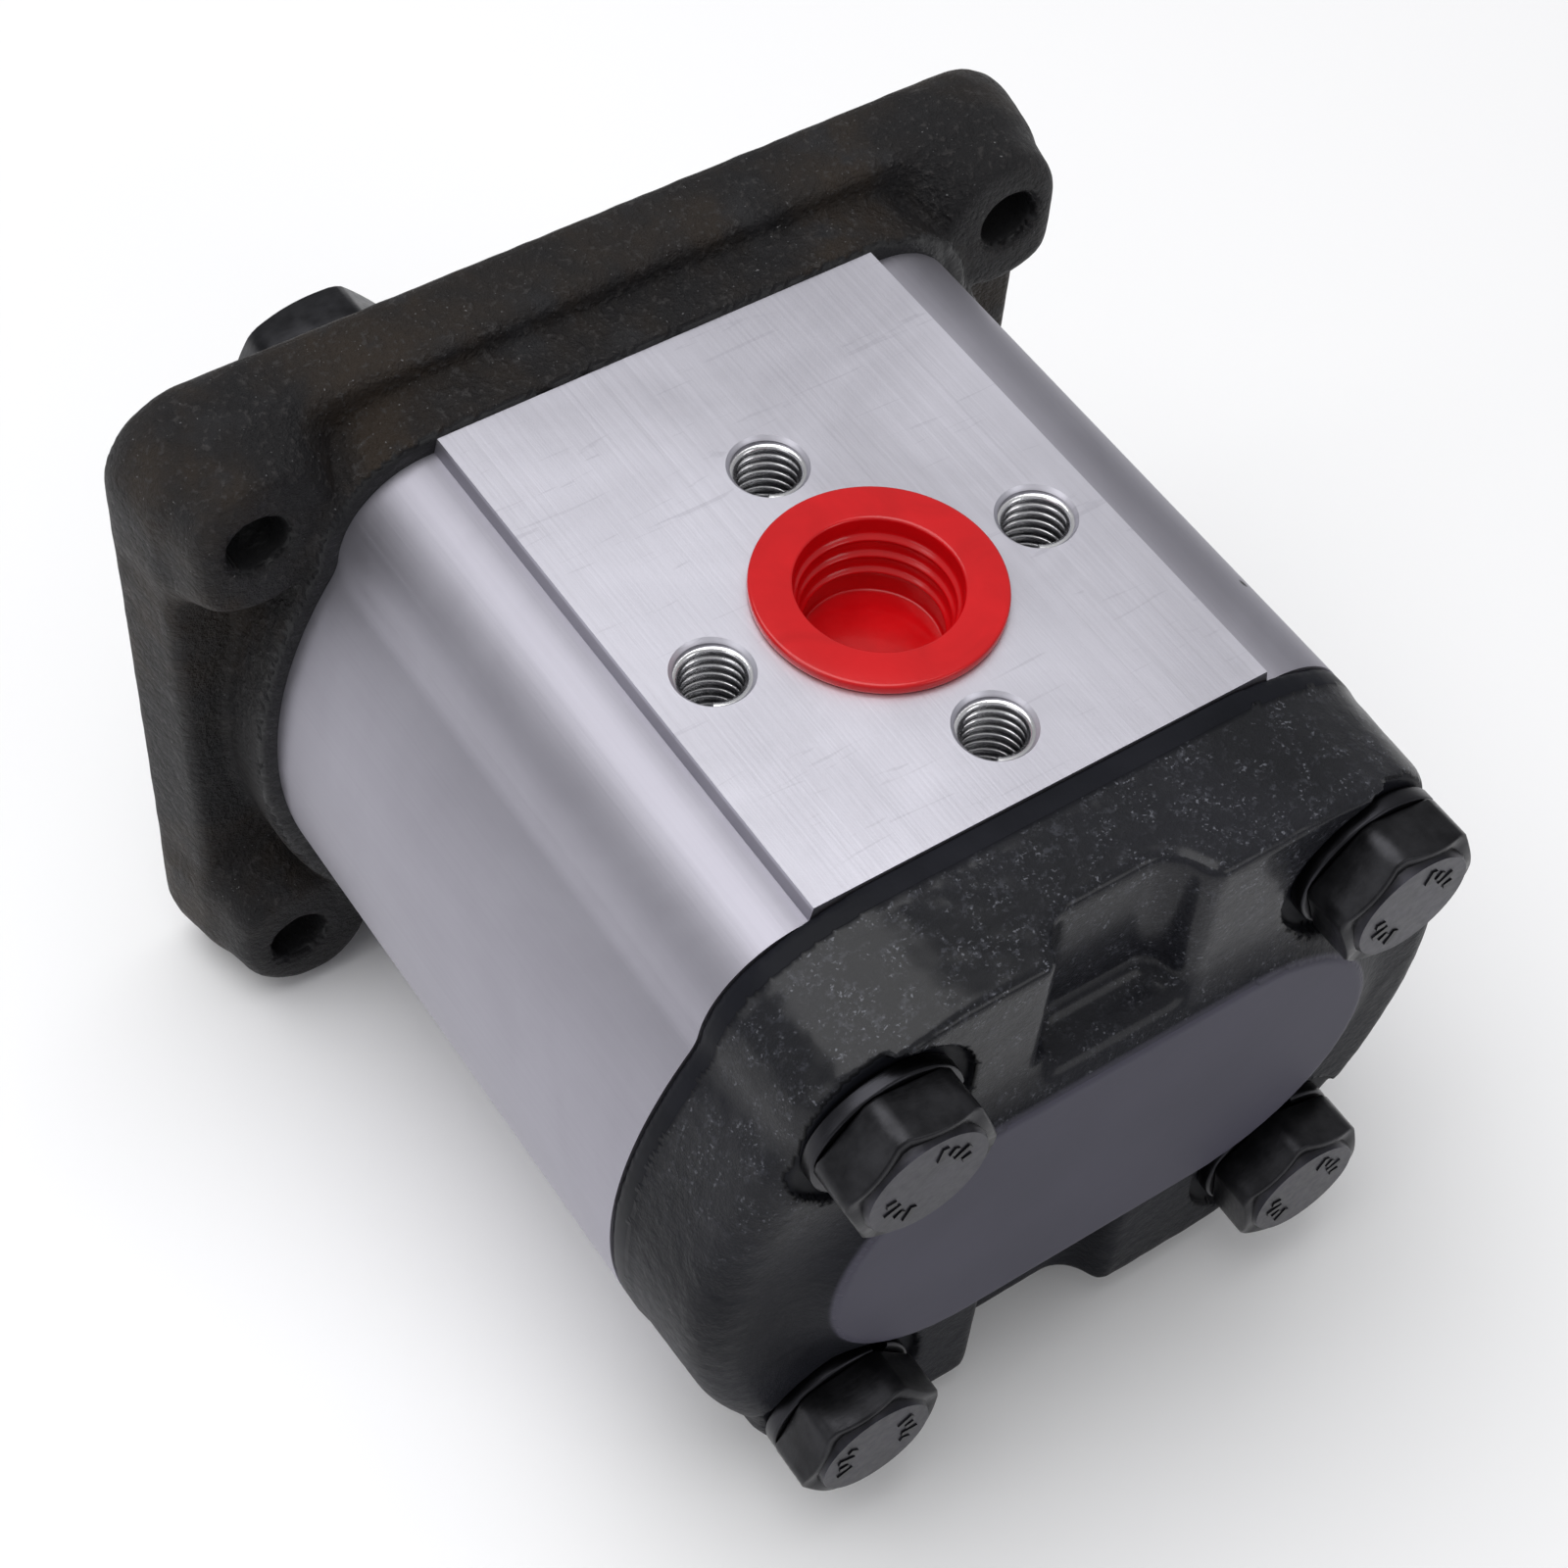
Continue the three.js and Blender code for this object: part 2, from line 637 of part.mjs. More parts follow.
function driveGearShaft() {
  const journal = journalDiameter / 2;
  const land = sealLandDiameter / 2;
  const thread = shaftThreadDiameter / 2;
  const shaft = toSolid(turnedY([
    [0, shaftRearY],
    [journal - shaftEndChamfer, shaftRearY],
    [journal, shaftRearY + shaftEndChamfer],
    [journal, jointFrontY],
    [land, jointFrontY + 0.5],
    [land, taperStart],
    [taperEndDiameter / 2, taperEnd],
    [thread, taperEnd],
    [thread, threadEnd - shaftThreadChamfer],
    [thread - shaftThreadChamfer, threadEnd],
    [0, threadEnd],
  ], 0, 0));
  const slot = toSolid(keyDisc(keyDiscDiameter / 2 + fitGap, keyWidth + 2 * fitGap, keyCentreZ - 0.05));
  const slotMouth = boxBetween(
    [-keyWidth / 2 - fitGap, keyPlace - keyDiscDiameter / 2 - fitGap, keyCentreZ - 0.06],
    [keyWidth / 2 + fitGap, keyPlace + keyDiscDiameter / 2 + fitGap, keyTopZ + 2],
  );
  return cutFrom(joined(shaft, gearTeethSolid(0, 0)), slot, slotMouth);
}

function idlerGearShaft() {
  const journal = journalDiameter / 2;
  const idlerFrontY = jointFrontY - runningGap - 1;
  const shaft = toSolid(turnedY([
    [0, shaftRearY],
    [journal - shaftEndChamfer, shaftRearY],
    [journal, shaftRearY + shaftEndChamfer],
    [journal, idlerFrontY - shaftEndChamfer],
    [journal - shaftEndChamfer, idlerFrontY],
    [0, idlerFrontY],
  ], centreDistance, 0));
  return joined(shaft, gearTeethSolid(centreDistance, Math.PI / gearTeeth));
}

place('drive_gear_shaft', driveGearShaft(), gearSteel);
place('idler_gear_shaft', idlerGearShaft(), gearSteel);
place('shaft_key', keyDisc(keyDiscDiameter / 2, keyWidth, keyTopZ), gearSteel);

// ---------------------------------------------------------------- nut and washer on the shaft end

// A hexagon with its corners faced off in a cone, at its front end or at its back end.
function hexPrism(flats, yBack, yFront, x, z, turn, chamferFront) {
  const radius = flats / Math.sqrt(3);
  const shape = new THREE.Shape([0, 1, 2, 3, 4, 5].map((corner) => {
    const angle = turn + corner * Math.PI / 3;
    return new THREE.Vector2(x + radius * Math.cos(angle), z + radius * Math.sin(angle));
  }));
  const facedRadius = hexChamferCircle * flats / 2;
  const reach = radius + 1;
  const drop = (reach - facedRadius) * Math.tan(Math.PI / 6);
  const profile = chamferFront
    ? [[0, yBack], [reach, yBack], [reach, yFront - drop], [facedRadius, yFront], [0, yFront]]
    : [[0, yBack], [facedRadius, yBack], [reach, yBack + drop], [reach, yFront], [0, yFront]];
  return toSolid(prismY(shape, yBack, yFront)).intersect(toSolid(turnedY(profile, x, z, 24)));
}

const washerBackY = taperEnd + fitGap;
const nutBackY = washerBackY + shaftWasherThickness;
const nutBore = shaftThreadDiameter / 2 + fitGap;

place('shaft_washer', turnedY([
  [nutBore, washerBackY],
  [shaftWasherOuter / 2, washerBackY],
  [shaftWasherOuter / 2, nutBackY],
  [nutBore, nutBackY],
  [nutBore, washerBackY],
], 0, 0), shaftHardware);

const nutFrontY = nutBackY + shaftNutHeight;
const nutTurn = THREE.MathUtils.degToRad(shaftNutTurn);

place('shaft_nut', cutFrom(
  hexPrism(shaftNutFlats, nutBackY, nutFrontY, 0, 0, nutTurn, true),
  cylinderY(nutBore, nutBackY - 1, nutFrontY + 1, 0, 0, 32),
), shaftHardware);

// ---------------------------------------------------------------- lip seal and circlip

const sealFrontY = spigotHeight - circlipEdge - circlipWidth - 2 * fitGap;
const sealBackY = sealFrontY - sealWidth;

const sealOuterR = sealOuterDiameter / 2;
const sealLipR = sealLandDiameter / 2 + runningGap;
const sealLipFrontY = sealFrontY - sealLipRise;

// Lip seal: a ring with a sprung lip round the shaft and an open channel behind it.
place('shaft_seal', turnedY([
  [sealOuterR, sealBackY],
  [sealOuterR, sealFrontY],
  [sealLipR + sealLipRise, sealFrontY],
  [sealLipR, sealLipFrontY],
  [sealLipR, sealLipFrontY - sealLipWidth],
  [sealLipR + sealShellWall, sealBackY + sealShellFloor],
  [sealOuterR - sealShellWall, sealBackY + sealShellFloor],
  [sealOuterR - sealShellWall, sealBackY],
  [sealOuterR, sealBackY],
], 0, 0), rubber);

function circlip() {
  const outer = sealOuterDiameter / 2 + circlipGrooveDepth - fitGap;
  const inner = outer - circlipRadialWidth;
  const first = THREE.MathUtils.degToRad(circlipOpeningAngle / 2 - 90);
  const last = THREE.MathUtils.degToRad(270 - circlipOpeningAngle / 2);
  const ear = THREE.MathUtils.degToRad(circlipEarAngle);
  const shape = new THREE.Shape();
  shape.absarc(0, 0, outer, first, last, false);
  shape.absarc(0, 0, inner - circlipEarHeight, last, last - ear, true);
  shape.absarc(0, 0, inner, last - ear, first + ear, true);
  shape.absarc(0, 0, inner - circlipEarHeight, first + ear, first, true);
  shape.closePath();
  const frontY = spigotHeight - circlipEdge;
  return prismY(shape, frontY - circlipWidth, frontY, 8);
}

place('seal_circlip', circlip(), springSteel);

// ---------------------------------------------------------------- bearing blocks and bushes

// A block fills both gear bores and holds a bush for each journal. Its outer face carries the
// balance seal and its gear face has two relief pockets where the teeth mesh. `facing` is +1 for
// the front block, whose outer face looks forward, and -1 for the rear one.
function bearingBlock(yBack, yFront, facing) {
  const outline = twinBorePath(chamberRadius - fitGap);
  const boreR = bushOuter / 2;
  outline.holes.push(circleHole(0, 0, boreR));
  outline.holes.push(circleHole(centreDistance, 0, boreR));
  const groove = balanceGroove(facing > 0 ? yFront : yBack, facing);
  const reliefBackY = facing > 0 ? yBack - 1 : yFront - reliefDepth;
  const reliefFrontY = facing > 0 ? yBack + reliefDepth : yFront + 1;
  const reliefs = [reliefFromCentre, -reliefFromCentre - reliefLength].map((lowZ) => boxBetween(
    [middleX - reliefWidth / 2, reliefBackY, lowZ],
    [middleX + reliefWidth / 2, reliefFrontY, lowZ + reliefLength],
  ));
  return cutFrom(toSolid(prismY(outline, yBack, yFront, 14)), groove, ...reliefs);
}

// A three-shaped path around the high pressure side of both bores, between two radii. Its two
// arcs join on the line between the shafts, or stop just short of it where they don't reach it.
function balanceShape(inner, outer) {
  const end = THREE.MathUtils.degToRad(balanceArcEnd);
  const meet = (radius) => (radius > middleX ? Math.acos(middleX / radius) : balanceNeckAngle);
  const shape = new THREE.Shape();
  shape.absarc(0, 0, outer, end, 2 * Math.PI - meet(outer), false);
  shape.absarc(centreDistance, 0, outer, Math.PI + meet(outer), 3 * Math.PI - end, false);
  shape.absarc(centreDistance, 0, inner, 3 * Math.PI - end, Math.PI + meet(inner), true);
  shape.absarc(0, 0, inner, 2 * Math.PI - meet(inner), end, true);
  shape.closePath();
  return shape;
}

function balanceGroove(faceY, facing) {
  const shape = balanceShape(balanceSealRadius - fitGap, balanceSealRadius + balanceSealWidth + fitGap);
  const depth = balanceSealDepth;
  return facing > 0
    ? toSolid(prismY(shape, faceY - depth, faceY + 1, 9))
    : toSolid(prismY(shape, faceY - 1, faceY + depth, 9));
}

const blocks = [
  { name: 'front', back: gearFrontY + runningGap, front: jointFrontY - runningGap, facing: 1 },
  { name: 'rear', back: jointRearY + runningGap, front: gearRearY - runningGap, facing: -1 },
];

blocks.forEach(({ name, back, front, facing }) => {
  place(`${name}_bearing_block`, bearingBlock(back, front, facing), bearingAlloy);
  const outerFace = facing > 0 ? front : back;
  const sealIn = outerFace - facing * (balanceSealDepth - fitGap);
  const sealOut = outerFace + facing * 0.1;
  const sealInner = balanceSealRadius + backupWidth + fitGap;
  const seal = balanceShape(sealInner, balanceSealRadius + balanceSealWidth);
  const backup = balanceShape(balanceSealRadius, balanceSealRadius + backupWidth);
  const low = Math.min(sealIn, sealOut);
  const high = Math.max(sealIn, sealOut);
  place(`${name}_balance_seal`, prismY(seal, low, high, 9), rubber);
  place(`${name}_backup_strip`, prismY(backup, low, high, 9), backupPolymer);
  [['drive', 0], ['idler', centreDistance]].forEach(([gear, x]) => {
    const outer = bushOuter / 2;
    const inner = outer - bushWall;
    place(`${gear}_${name}_bush`, turnedY([
      [inner, back + bushInset],
      [outer - fitGap, back + bushInset],
      [outer - fitGap, front - bushInset],
      [inner, front - bushInset],
      [inner, back + bushInset],
    ], x, 0), bushLining);
  });
});

// ---------------------------------------------------------------- seals between the housing parts

function bodySeal(yBack, yFront) {
  const ring = obroundPath(bodySealInner + bodySealWidth - fitGap);
  ring.holes.push(obroundPath(bodySealInner + fitGap, new THREE.Path()));
  return prismY(ring, yBack, yFront, 8);
}

place('front_body_seal', bodySeal(jointFrontY - bodySealDepth + fitGap, jointFrontY - 0.05), rubber);
place('rear_body_seal', bodySeal(jointRearY + 0.05, jointRearY + bodySealDepth - fitGap), rubber);

// ---------------------------------------------------------------- dowels

[['front', jointFrontY], ['rear', jointRearY]].forEach(([name, jointY]) => {
  [-1, 1].forEach((side, i) => {
    const radius = dowelDiameter / 2;
    const x = middleX + side * dowelOffset;
    place(`${name}_dowel_${i + 1}`, turnedY([
      [0, jointY - dowelDepth],
      [radius - dowelChamfer, jointY - dowelDepth],
      [radius, jointY - dowelDepth + dowelChamfer],
      [radius, jointY + dowelDepth - dowelChamfer],
      [radius - dowelChamfer, jointY + dowelDepth],
      [0, jointY + dowelDepth],
    ], x, 0, 12), gearSteel);
  });
});

// ---------------------------------------------------------------- assembly bolts

function assemblyBolt(x, z, turn) {
  const headEndY = boltHeadSeatY - boltHeadHeight;
  const head = hexPrism(boltHeadFlats, headEndY, boltHeadSeatY, x, z, turn, false);
  const radius = boltDiameter / 2;
  const tipY = boltHeadSeatY + boltLength;
  const shank = toSolid(turnedY([
    [0, boltHeadSeatY - 1],
    [radius, boltHeadSeatY - 1],
    [radius, tipY - boltTipChamfer],
    [radius - boltTipChamfer, tipY],
    [0, tipY],
  ], x, z, 12));
  return joined(head, shank);
}

function springWasher(x, z) {
  const gap = THREE.MathUtils.degToRad(springWasherGapAngle / 2);
  const shape = new THREE.Shape();
  shape.absarc(x, z, springWasherOuter / 2, gap, 2 * Math.PI - gap, false);
  shape.absarc(x, z, springWasherInner / 2, 2 * Math.PI - gap, gap, true);
  shape.closePath();
  return prismY(shape, boltHeadSeatY, boltSeatY, 10);
}

boltPlaces.forEach(([x, z], i) => {
  const turn = THREE.MathUtils.degToRad(boltHeadTurns[i]);
  place(`assembly_bolt_${i + 1}`, assemblyBolt(x, z, turn), blackSteel);
  place(`spring_washer_${i + 1}`, springWasher(x, z), springSteel);
});

// ---------------------------------------------------------------- transit plugs

// A moulded cup with a flat rim, pushed into the port so that the rim lies on the port face.
function transitPlug(side, bore) {
  const faceZ = housingHeight / 2;
  const outer = bore / 2 - fitGap;
  const inner = outer - plugWall;
  const rim = bore / 2 + plugRimWidth;
  const topZ = faceZ + plugRimThickness;
  const floorZ = topZ - plugCupDepth;
  const geometry = turnedZ([
    [0, floorZ - plugFloor],
    [outer - plugLeadIn, floorZ - plugFloor],
    [outer, floorZ - plugFloor + plugLeadIn],
    [outer, faceZ],
    [rim, faceZ],
    [rim, topZ],
    [inner, topZ],
    [inner, floorZ],
    [0, floorZ],
  ], middleX, portY, 32);
  if (side < 0) geometry.rotateY(Math.PI).translate(2 * middleX, 0, 0);
  return geometry;
}

place('inlet_plug', transitPlug(1, inletBore), plugPlastic);
place('outlet_plug', transitPlug(-1, outletBore), plugPlastic);

export default model;
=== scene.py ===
import json
import math

import bmesh
import bpy
import numpy as np
from mathutils import Matrix, Vector

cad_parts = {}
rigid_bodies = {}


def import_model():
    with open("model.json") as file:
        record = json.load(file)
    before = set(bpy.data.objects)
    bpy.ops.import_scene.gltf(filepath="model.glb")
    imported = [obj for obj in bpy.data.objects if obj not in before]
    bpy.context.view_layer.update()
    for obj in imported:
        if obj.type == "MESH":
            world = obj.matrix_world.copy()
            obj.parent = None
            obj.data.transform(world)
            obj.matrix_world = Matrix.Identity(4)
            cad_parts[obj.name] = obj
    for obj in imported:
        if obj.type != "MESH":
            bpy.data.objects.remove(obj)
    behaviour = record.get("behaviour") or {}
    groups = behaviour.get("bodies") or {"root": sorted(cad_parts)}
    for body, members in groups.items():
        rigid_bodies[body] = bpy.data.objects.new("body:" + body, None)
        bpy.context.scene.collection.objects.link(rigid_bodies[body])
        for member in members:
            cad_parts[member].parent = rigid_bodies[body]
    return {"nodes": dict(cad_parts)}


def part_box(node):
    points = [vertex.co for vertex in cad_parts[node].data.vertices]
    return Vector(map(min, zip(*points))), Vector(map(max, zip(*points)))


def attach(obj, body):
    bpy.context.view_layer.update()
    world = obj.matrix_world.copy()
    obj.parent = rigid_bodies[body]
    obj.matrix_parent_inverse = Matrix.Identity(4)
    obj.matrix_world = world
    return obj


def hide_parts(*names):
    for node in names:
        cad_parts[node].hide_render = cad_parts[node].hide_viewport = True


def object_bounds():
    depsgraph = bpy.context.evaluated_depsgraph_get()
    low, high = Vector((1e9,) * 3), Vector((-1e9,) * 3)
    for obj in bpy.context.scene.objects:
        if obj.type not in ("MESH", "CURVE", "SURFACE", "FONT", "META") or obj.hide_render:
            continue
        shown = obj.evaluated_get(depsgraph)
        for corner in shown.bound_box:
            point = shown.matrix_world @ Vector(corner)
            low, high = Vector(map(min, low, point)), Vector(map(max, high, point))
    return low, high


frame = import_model()
cad_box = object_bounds()
mm = 0.001

# ------------------------------------------------------------------ drive and idler gears
# Case-hardened steel gears, each cut in one piece with its shaft and ground on the journals.
# They run in the body between the bearing blocks, so only the drive shaft's end shows.

steel_grey = (0.42, 0.42, 0.44)


class Flow:
    """A socket of a material's node tree. Sums and products on it add the nodes they need."""

    def __init__(self, tree, socket):
        self.tree = tree
        self.socket = socket

    def node(self, kind, settings=None, inputs=None, output=0):
        made = self.tree.nodes.new("ShaderNode" + kind)
        for key, value in (settings or {}).items():
            setattr(made, key, value)
        for key, value in (inputs or {}).items():
            self.feed(made.inputs[key], value)
        return Flow(self.tree, made.outputs[output])

    def feed(self, socket, value):
        if isinstance(value, Flow):
            self.tree.links.new(value.socket, socket)
        else:
            socket.default_value = value

    def maths(self, operation, first, second):
        return self.node("Math", {"operation": operation}, {0: first, 1: second})

    def __add__(self, other):
        return self.maths("ADD", self, other)

    def __radd__(self, other):
        return self.maths("ADD", other, self)

    def __sub__(self, other):
        return self.maths("SUBTRACT", self, other)

    def __rsub__(self, other):
        return self.maths("SUBTRACT", other, self)

    def __mul__(self, other):
        return self.maths("MULTIPLY", self, other)

    def above(self, edge, width):
        """1 where this is well above the edge, 0 where it is well below it."""
        smooth = {"data_type": "FLOAT", "interpolation_type": "SMOOTHSTEP"}
        ends = {"Value": self, "From Min": edge - width, "From Max": edge + width}
        return self.node("MapRange", smooth, ends)

    def between(self, low, high):
        """A colour that goes from low to high as this goes from 0 to 1."""
        factor, colour_a, colour_b, colour_result = 0, 6, 7, 2
        inputs = {factor: self}
        for place, colour in ((colour_a, low), (colour_b, high)):
            inputs[place] = (*colour, 1) if isinstance(colour, tuple) else colour
        return self.node("Mix", {"data_type": "RGBA"}, inputs, output=colour_result)

    def noise(self, per_metre, detail=3.0, roughness=0.55, distortion=0.0):
        sizes = {"Vector": self, "Scale": per_metre, "Detail": detail}
        sizes |= {"Roughness": roughness, "Distortion": distortion}
        return self.node("TexNoise", {"noise_dimensions": "3D"}, sizes)

    def stretched(self, x, y, z):
        return self.node("Mapping", {}, {"Vector": self, "Scale": (x, y, z)})

    def part(self, letter):
        return self.node("SeparateXYZ", {}, {0: self}, output="XYZ".index(letter))


class Finish:
    """A new material: place is the point on the piece, and looks are fed to its shader."""

    def __init__(self, name, **constants):
        self.material = bpy.data.materials.new(name)
        self.material.use_nodes = True
        tree = self.material.node_tree
        self.skin = tree.nodes["Principled BSDF"]
        coordinates = tree.nodes.new("ShaderNodeTexCoord")
        self.place = Flow(tree, coordinates.outputs["Object"])
        for key, value in constants.items():
            self.skin.inputs[key.replace("_", " ")].default_value = value

    def feed(self, **looks):
        for key, value in looks.items():
            self.place.feed(self.skin.inputs[key.replace("_", " ")], value)

    def attribute(self, name):
        factor = 2
        return self.place.node("Attribute", {"attribute_name": name}, {}, output=factor)

    def relief(self, height, depth, strength):
        raised = {"Height": height, "Distance": depth, "Strength": strength}
        self.feed(Normal=self.place.node("Bump", {}, raised))


def ground_steel(name, colour, roughness, streak=(400, 6000, 400)):
    """Bright steel or alloy with fine turning or grinding marks and a faint oily mottle."""
    finish = Finish(name, Metallic=1.0)
    mottle = finish.place.noise(90, detail=4)
    marks = finish.place.stretched(*streak).noise(1.0, detail=2)
    oiled = tuple(0.72 * c for c in colour)
    finish.feed(Base_Color=mottle.above(0.5, 0.25).between(oiled, colour))
    finish.feed(Roughness=roughness + (marks - 0.5) * 0.18 + (mottle - 0.5) * 0.12)
    finish.relief(marks, 0.02 * mm, 0.5)
    return finish.material


def dress(node, material):
    """A CAD piece is shown as it is, in this material."""
    piece = frame["nodes"][node]
    piece.data.materials.clear()
    piece.data.materials.append(material)


gear_steel = ground_steel("ground_gear_steel", steel_grey, 0.3)
for node in ("drive_gear_shaft", "idler_gear_shaft"):
    dress(node, gear_steel)
for end in ("front", "rear"):
    for number in (1, 2):
        dress(f"{end}_dowel_{number}", gear_steel)

# ------------------------------------------------------------------ bearing blocks and bushes
# Pressure-cast alloy blocks, bored in pairs, with a lined bronze bush pressed into each bore.
# They float on the shafts and are pushed against the gears by oil behind the balance seals.

block_alloy = ground_steel("bearing_block_alloy", (0.56, 0.55, 0.52), 0.42, (900, 900, 900))
bush_bronze = ground_steel("lined_bronze", (0.24, 0.22, 0.16), 0.45)
for end in ("front", "rear"):
    dress(f"{end}_bearing_block", block_alloy)
    for shaft in ("drive", "idler"):
        dress(f"{shaft}_{end}_bush", bush_bronze)

# ------------------------------------------------------------------ seals
# Moulded nitrile rubber, with an off-white polymer strip backing each balance seal. They lie in
# grooves in the blocks and in the body's end faces; the lip seal is held by a steel circlip.


def moulded(name, colour, roughness, grain):
    """Rubber or plastic with a slight bloom and a fine moulded grain."""
    finish = Finish(name)
    bloom = finish.place.noise(140, detail=3)
    pale = tuple(min(1.0, 1.5 * c + 0.01) for c in colour)
    finish.feed(Base_Color=bloom.above(0.62, 0.2).between(colour, pale))
    finish.feed(Roughness=roughness + (bloom - 0.5) * 0.2)
    finish.relief(finish.place.noise(grain, detail=2), 0.03 * mm, 0.6)
    return finish.material


rubber = moulded("nitrile_rubber", (0.012, 0.012, 0.013), 0.62, 5000)
backup = moulded("backup_polymer", (0.72, 0.68, 0.58), 0.5, 3000)
for end in ("front", "rear"):
    dress(f"{end}_balance_seal", rubber)
    dress(f"{end}_backup_strip", backup)
    dress(f"{end}_body_seal", rubber)
dress("shaft_seal", rubber)

# ------------------------------------------------------------------ front mounting flange
# Sand-cast iron, dipped black: a drafted plate with four drilled ears, a raised seat for the
# body and a turned spigot. Only its mounting face, spigot, joint and holes are machined.

flange_low, flange_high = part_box("front_flange")
body_low, body_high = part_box("pump_body")
cover_low, cover_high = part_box("rear_cover")
middle_x = (body_low.x + body_high.x) / 2
port_z = body_high.z
joint_front = body_high.y
joint_rear = body_low.y
gear_spread = 2 * middle_x
bolt_reach = (29.85 * mm, 28.2 * mm)
bolt_hole = 5.3 * mm
bolt_hole_depth = 14 * mm
mount_reach = (48.1 * mm, 35.75 * mm)
mount_hole = 3.6 * mm
dowel_reach = 41.5 * mm
dowel_hole = 2.65 * mm
dowel_hole_depth = 5.15 * mm

plate_half_x, plate_half_z, plate_corner = 58.2 * mm, 45.85 * mm, 10.1 * mm
plate_back = -10 * mm
plate_draft_x, plate_draft_z = 3.2 * mm, 0.9 * mm
ear_radius, ear_flare = 9.2 * mm, 3.3 * mm
ear_back = joint_front + 0.8 * mm
seat_rim_side, seat_rim_top = 2.4 * mm, 0.8 * mm
spigot_radius, spigot_front = 18.25 * mm, 6 * mm
shaft_hole = 10 * mm
seal_bore, seal_floor = 15.15 * mm, -3.95 * mm
circlip_groove, circlip_back, circlip_front = 15.7 * mm, 3.35 * mm, 4.7 * mm
inside_metal = 2 * mm


def corners(reach):
    """The four places set symmetrically about the housing's middle: above, then below."""
    x, z = reach
    return [(middle_x + sx * x, sz * z) for sz in (1, -1) for sx in (-1, 1)]


dowel_places = [(middle_x - dowel_reach, 0), (middle_x + dowel_reach, 0)]


def arc(cx, cz, radius, start, end, steps):
    turn = np.linspace(start, end, steps)
    return [(cx + radius * math.cos(a), cz + radius * math.sin(a)) for a in turn]


def housing_outline(grow_side=0.0, grow_top=0.0, stepped=True, fine=1):
    """The section that flange seat, body and cover share, as points in X and Z.

    Two big side arcs and four small lobes meet in rounded valleys. Beside each port face the body
    has a step, while the castings sweep over in one arc.
    """
    side = 49 * mm + grow_side
    lobe = 11.3 * mm + grow_side
    lobe_x, lobe_z = 28.6 * mm, 28.2 * mm
    drop, run = 1.9 * mm, 0.9 * mm
    top = port_z + grow_top
    face = 27.5 * mm
    sweep = 30 * mm
    valley_round = 6 * mm
    span = math.hypot(lobe_x, lobe_z)
    reach_side, reach_lobe = side + valley_round, lobe + valley_round
    along = (reach_side**2 - reach_lobe**2 + span**2) / (2 * span)
    across = math.sqrt(reach_side**2 - along**2)
    valley = (
        (along * lobe_x + across * lobe_z) / span,
        (along * lobe_z - across * lobe_x) / span,
    )
    if stepped:
        start = math.acos((face + run - lobe_x) / lobe)
        quarter = [(face, top), (face + run * 0.45, top - drop)]
    else:
        sweep_z = top - sweep
        start = math.asin((lobe_z - sweep_z) / (sweep - lobe))
        sweep_x = lobe_x - (sweep - lobe) * math.cos(start)
        quarter = arc(sweep_x, sweep_z, sweep, math.pi / 2, start, 6 * fine)[:-1]
    end = math.atan2(valley[1] - lobe_z, valley[0] - lobe_x)
    quarter += arc(lobe_x, lobe_z, lobe, start, end, 14 * fine)
    turn = math.atan2(valley[1], valley[0])
    quarter += arc(*valley, valley_round, end + math.pi, turn + math.pi, 5 * fine)[1:]
    quarter += arc(0, 0, side, turn, 0, 12 * fine)[1:]
    half = quarter + [(x, -z) for x, z in reversed(quarter[:-1])]
    ring = half + [(-x, z) for x, z in reversed(half)]
    return [(middle_x + x, z) for x, z in ring]


def outline_distance(points, x, z):
    """Distance to a closed outline, negative inside it."""
    start = np.array(points)
    end = np.roll(start, -1, axis=0)
    px, pz = x[..., None], z[..., None]
    ax, az = start[:, 0], start[:, 1]
    ex, ez = end[:, 0] - ax, end[:, 1] - az
    share = ((px - ax) * ex + (pz - az) * ez) / (ex * ex + ez * ez)
    share = np.clip(share, 0, 1)
    gap = np.hypot(px - ax - share * ex, pz - az - share * ez).min(-1)
    rising = (az <= pz) != (end[:, 1] <= pz)
    crossing = ax + (pz - az) / np.where(ez == 0, 1, ez) * ex
    inside = ((rising & (px < crossing)).sum(-1) % 2).astype(bool)
    return np.where(inside, -gap, gap)


def filleted(a, b, radius):
    """Two solids joined, with a hollow fillet between them."""
    u, v = np.maximum(radius - a, 0), np.maximum(radius - b, 0)
    return np.maximum(radius, np.minimum(a, b)) - np.hypot(u, v)


def edged(a, b, radius):
    """What two solids share, with the edge between them rounded."""
    u, v = np.maximum(radius + a, 0), np.maximum(radius + b, 0)
    return np.minimum(-radius, np.maximum(a, b)) + np.hypot(u, v)


def drilled(x, z, places, radius):
    """Distance to the nearest of several holes along Y, negative inside them."""
    return np.minimum.reduce([np.hypot(x - hx, z - hz) for hx, hz in places]) - radius


def ripple(x, y, z, seed, longest):
    """An uneven cast skin: waves of several lengths in all directions, between about -1 and 1."""
    count = 26
    chance = np.random.default_rng(seed)
    total = np.zeros_like(x)
    for _ in range(count):
        way = chance.normal(size=3)
        way *= 2 * math.pi / (longest * chance.uniform(0.25, 1) * np.linalg.norm(way))
        total += np.sin(way[0] * x + way[1] * y + way[2] * z + chance.uniform(0, 6.3))
    return total / math.sqrt(count)


def along_axis(axis, grid):
    """A grid's values at the near and at the far end of each of its edges along this axis."""
    near = [slice(None)] * 3
    far = [slice(None)] * 3
    near[axis], far[axis] = slice(0, -1), slice(1, None)
    return grid[tuple(near)], grid[tuple(far)]


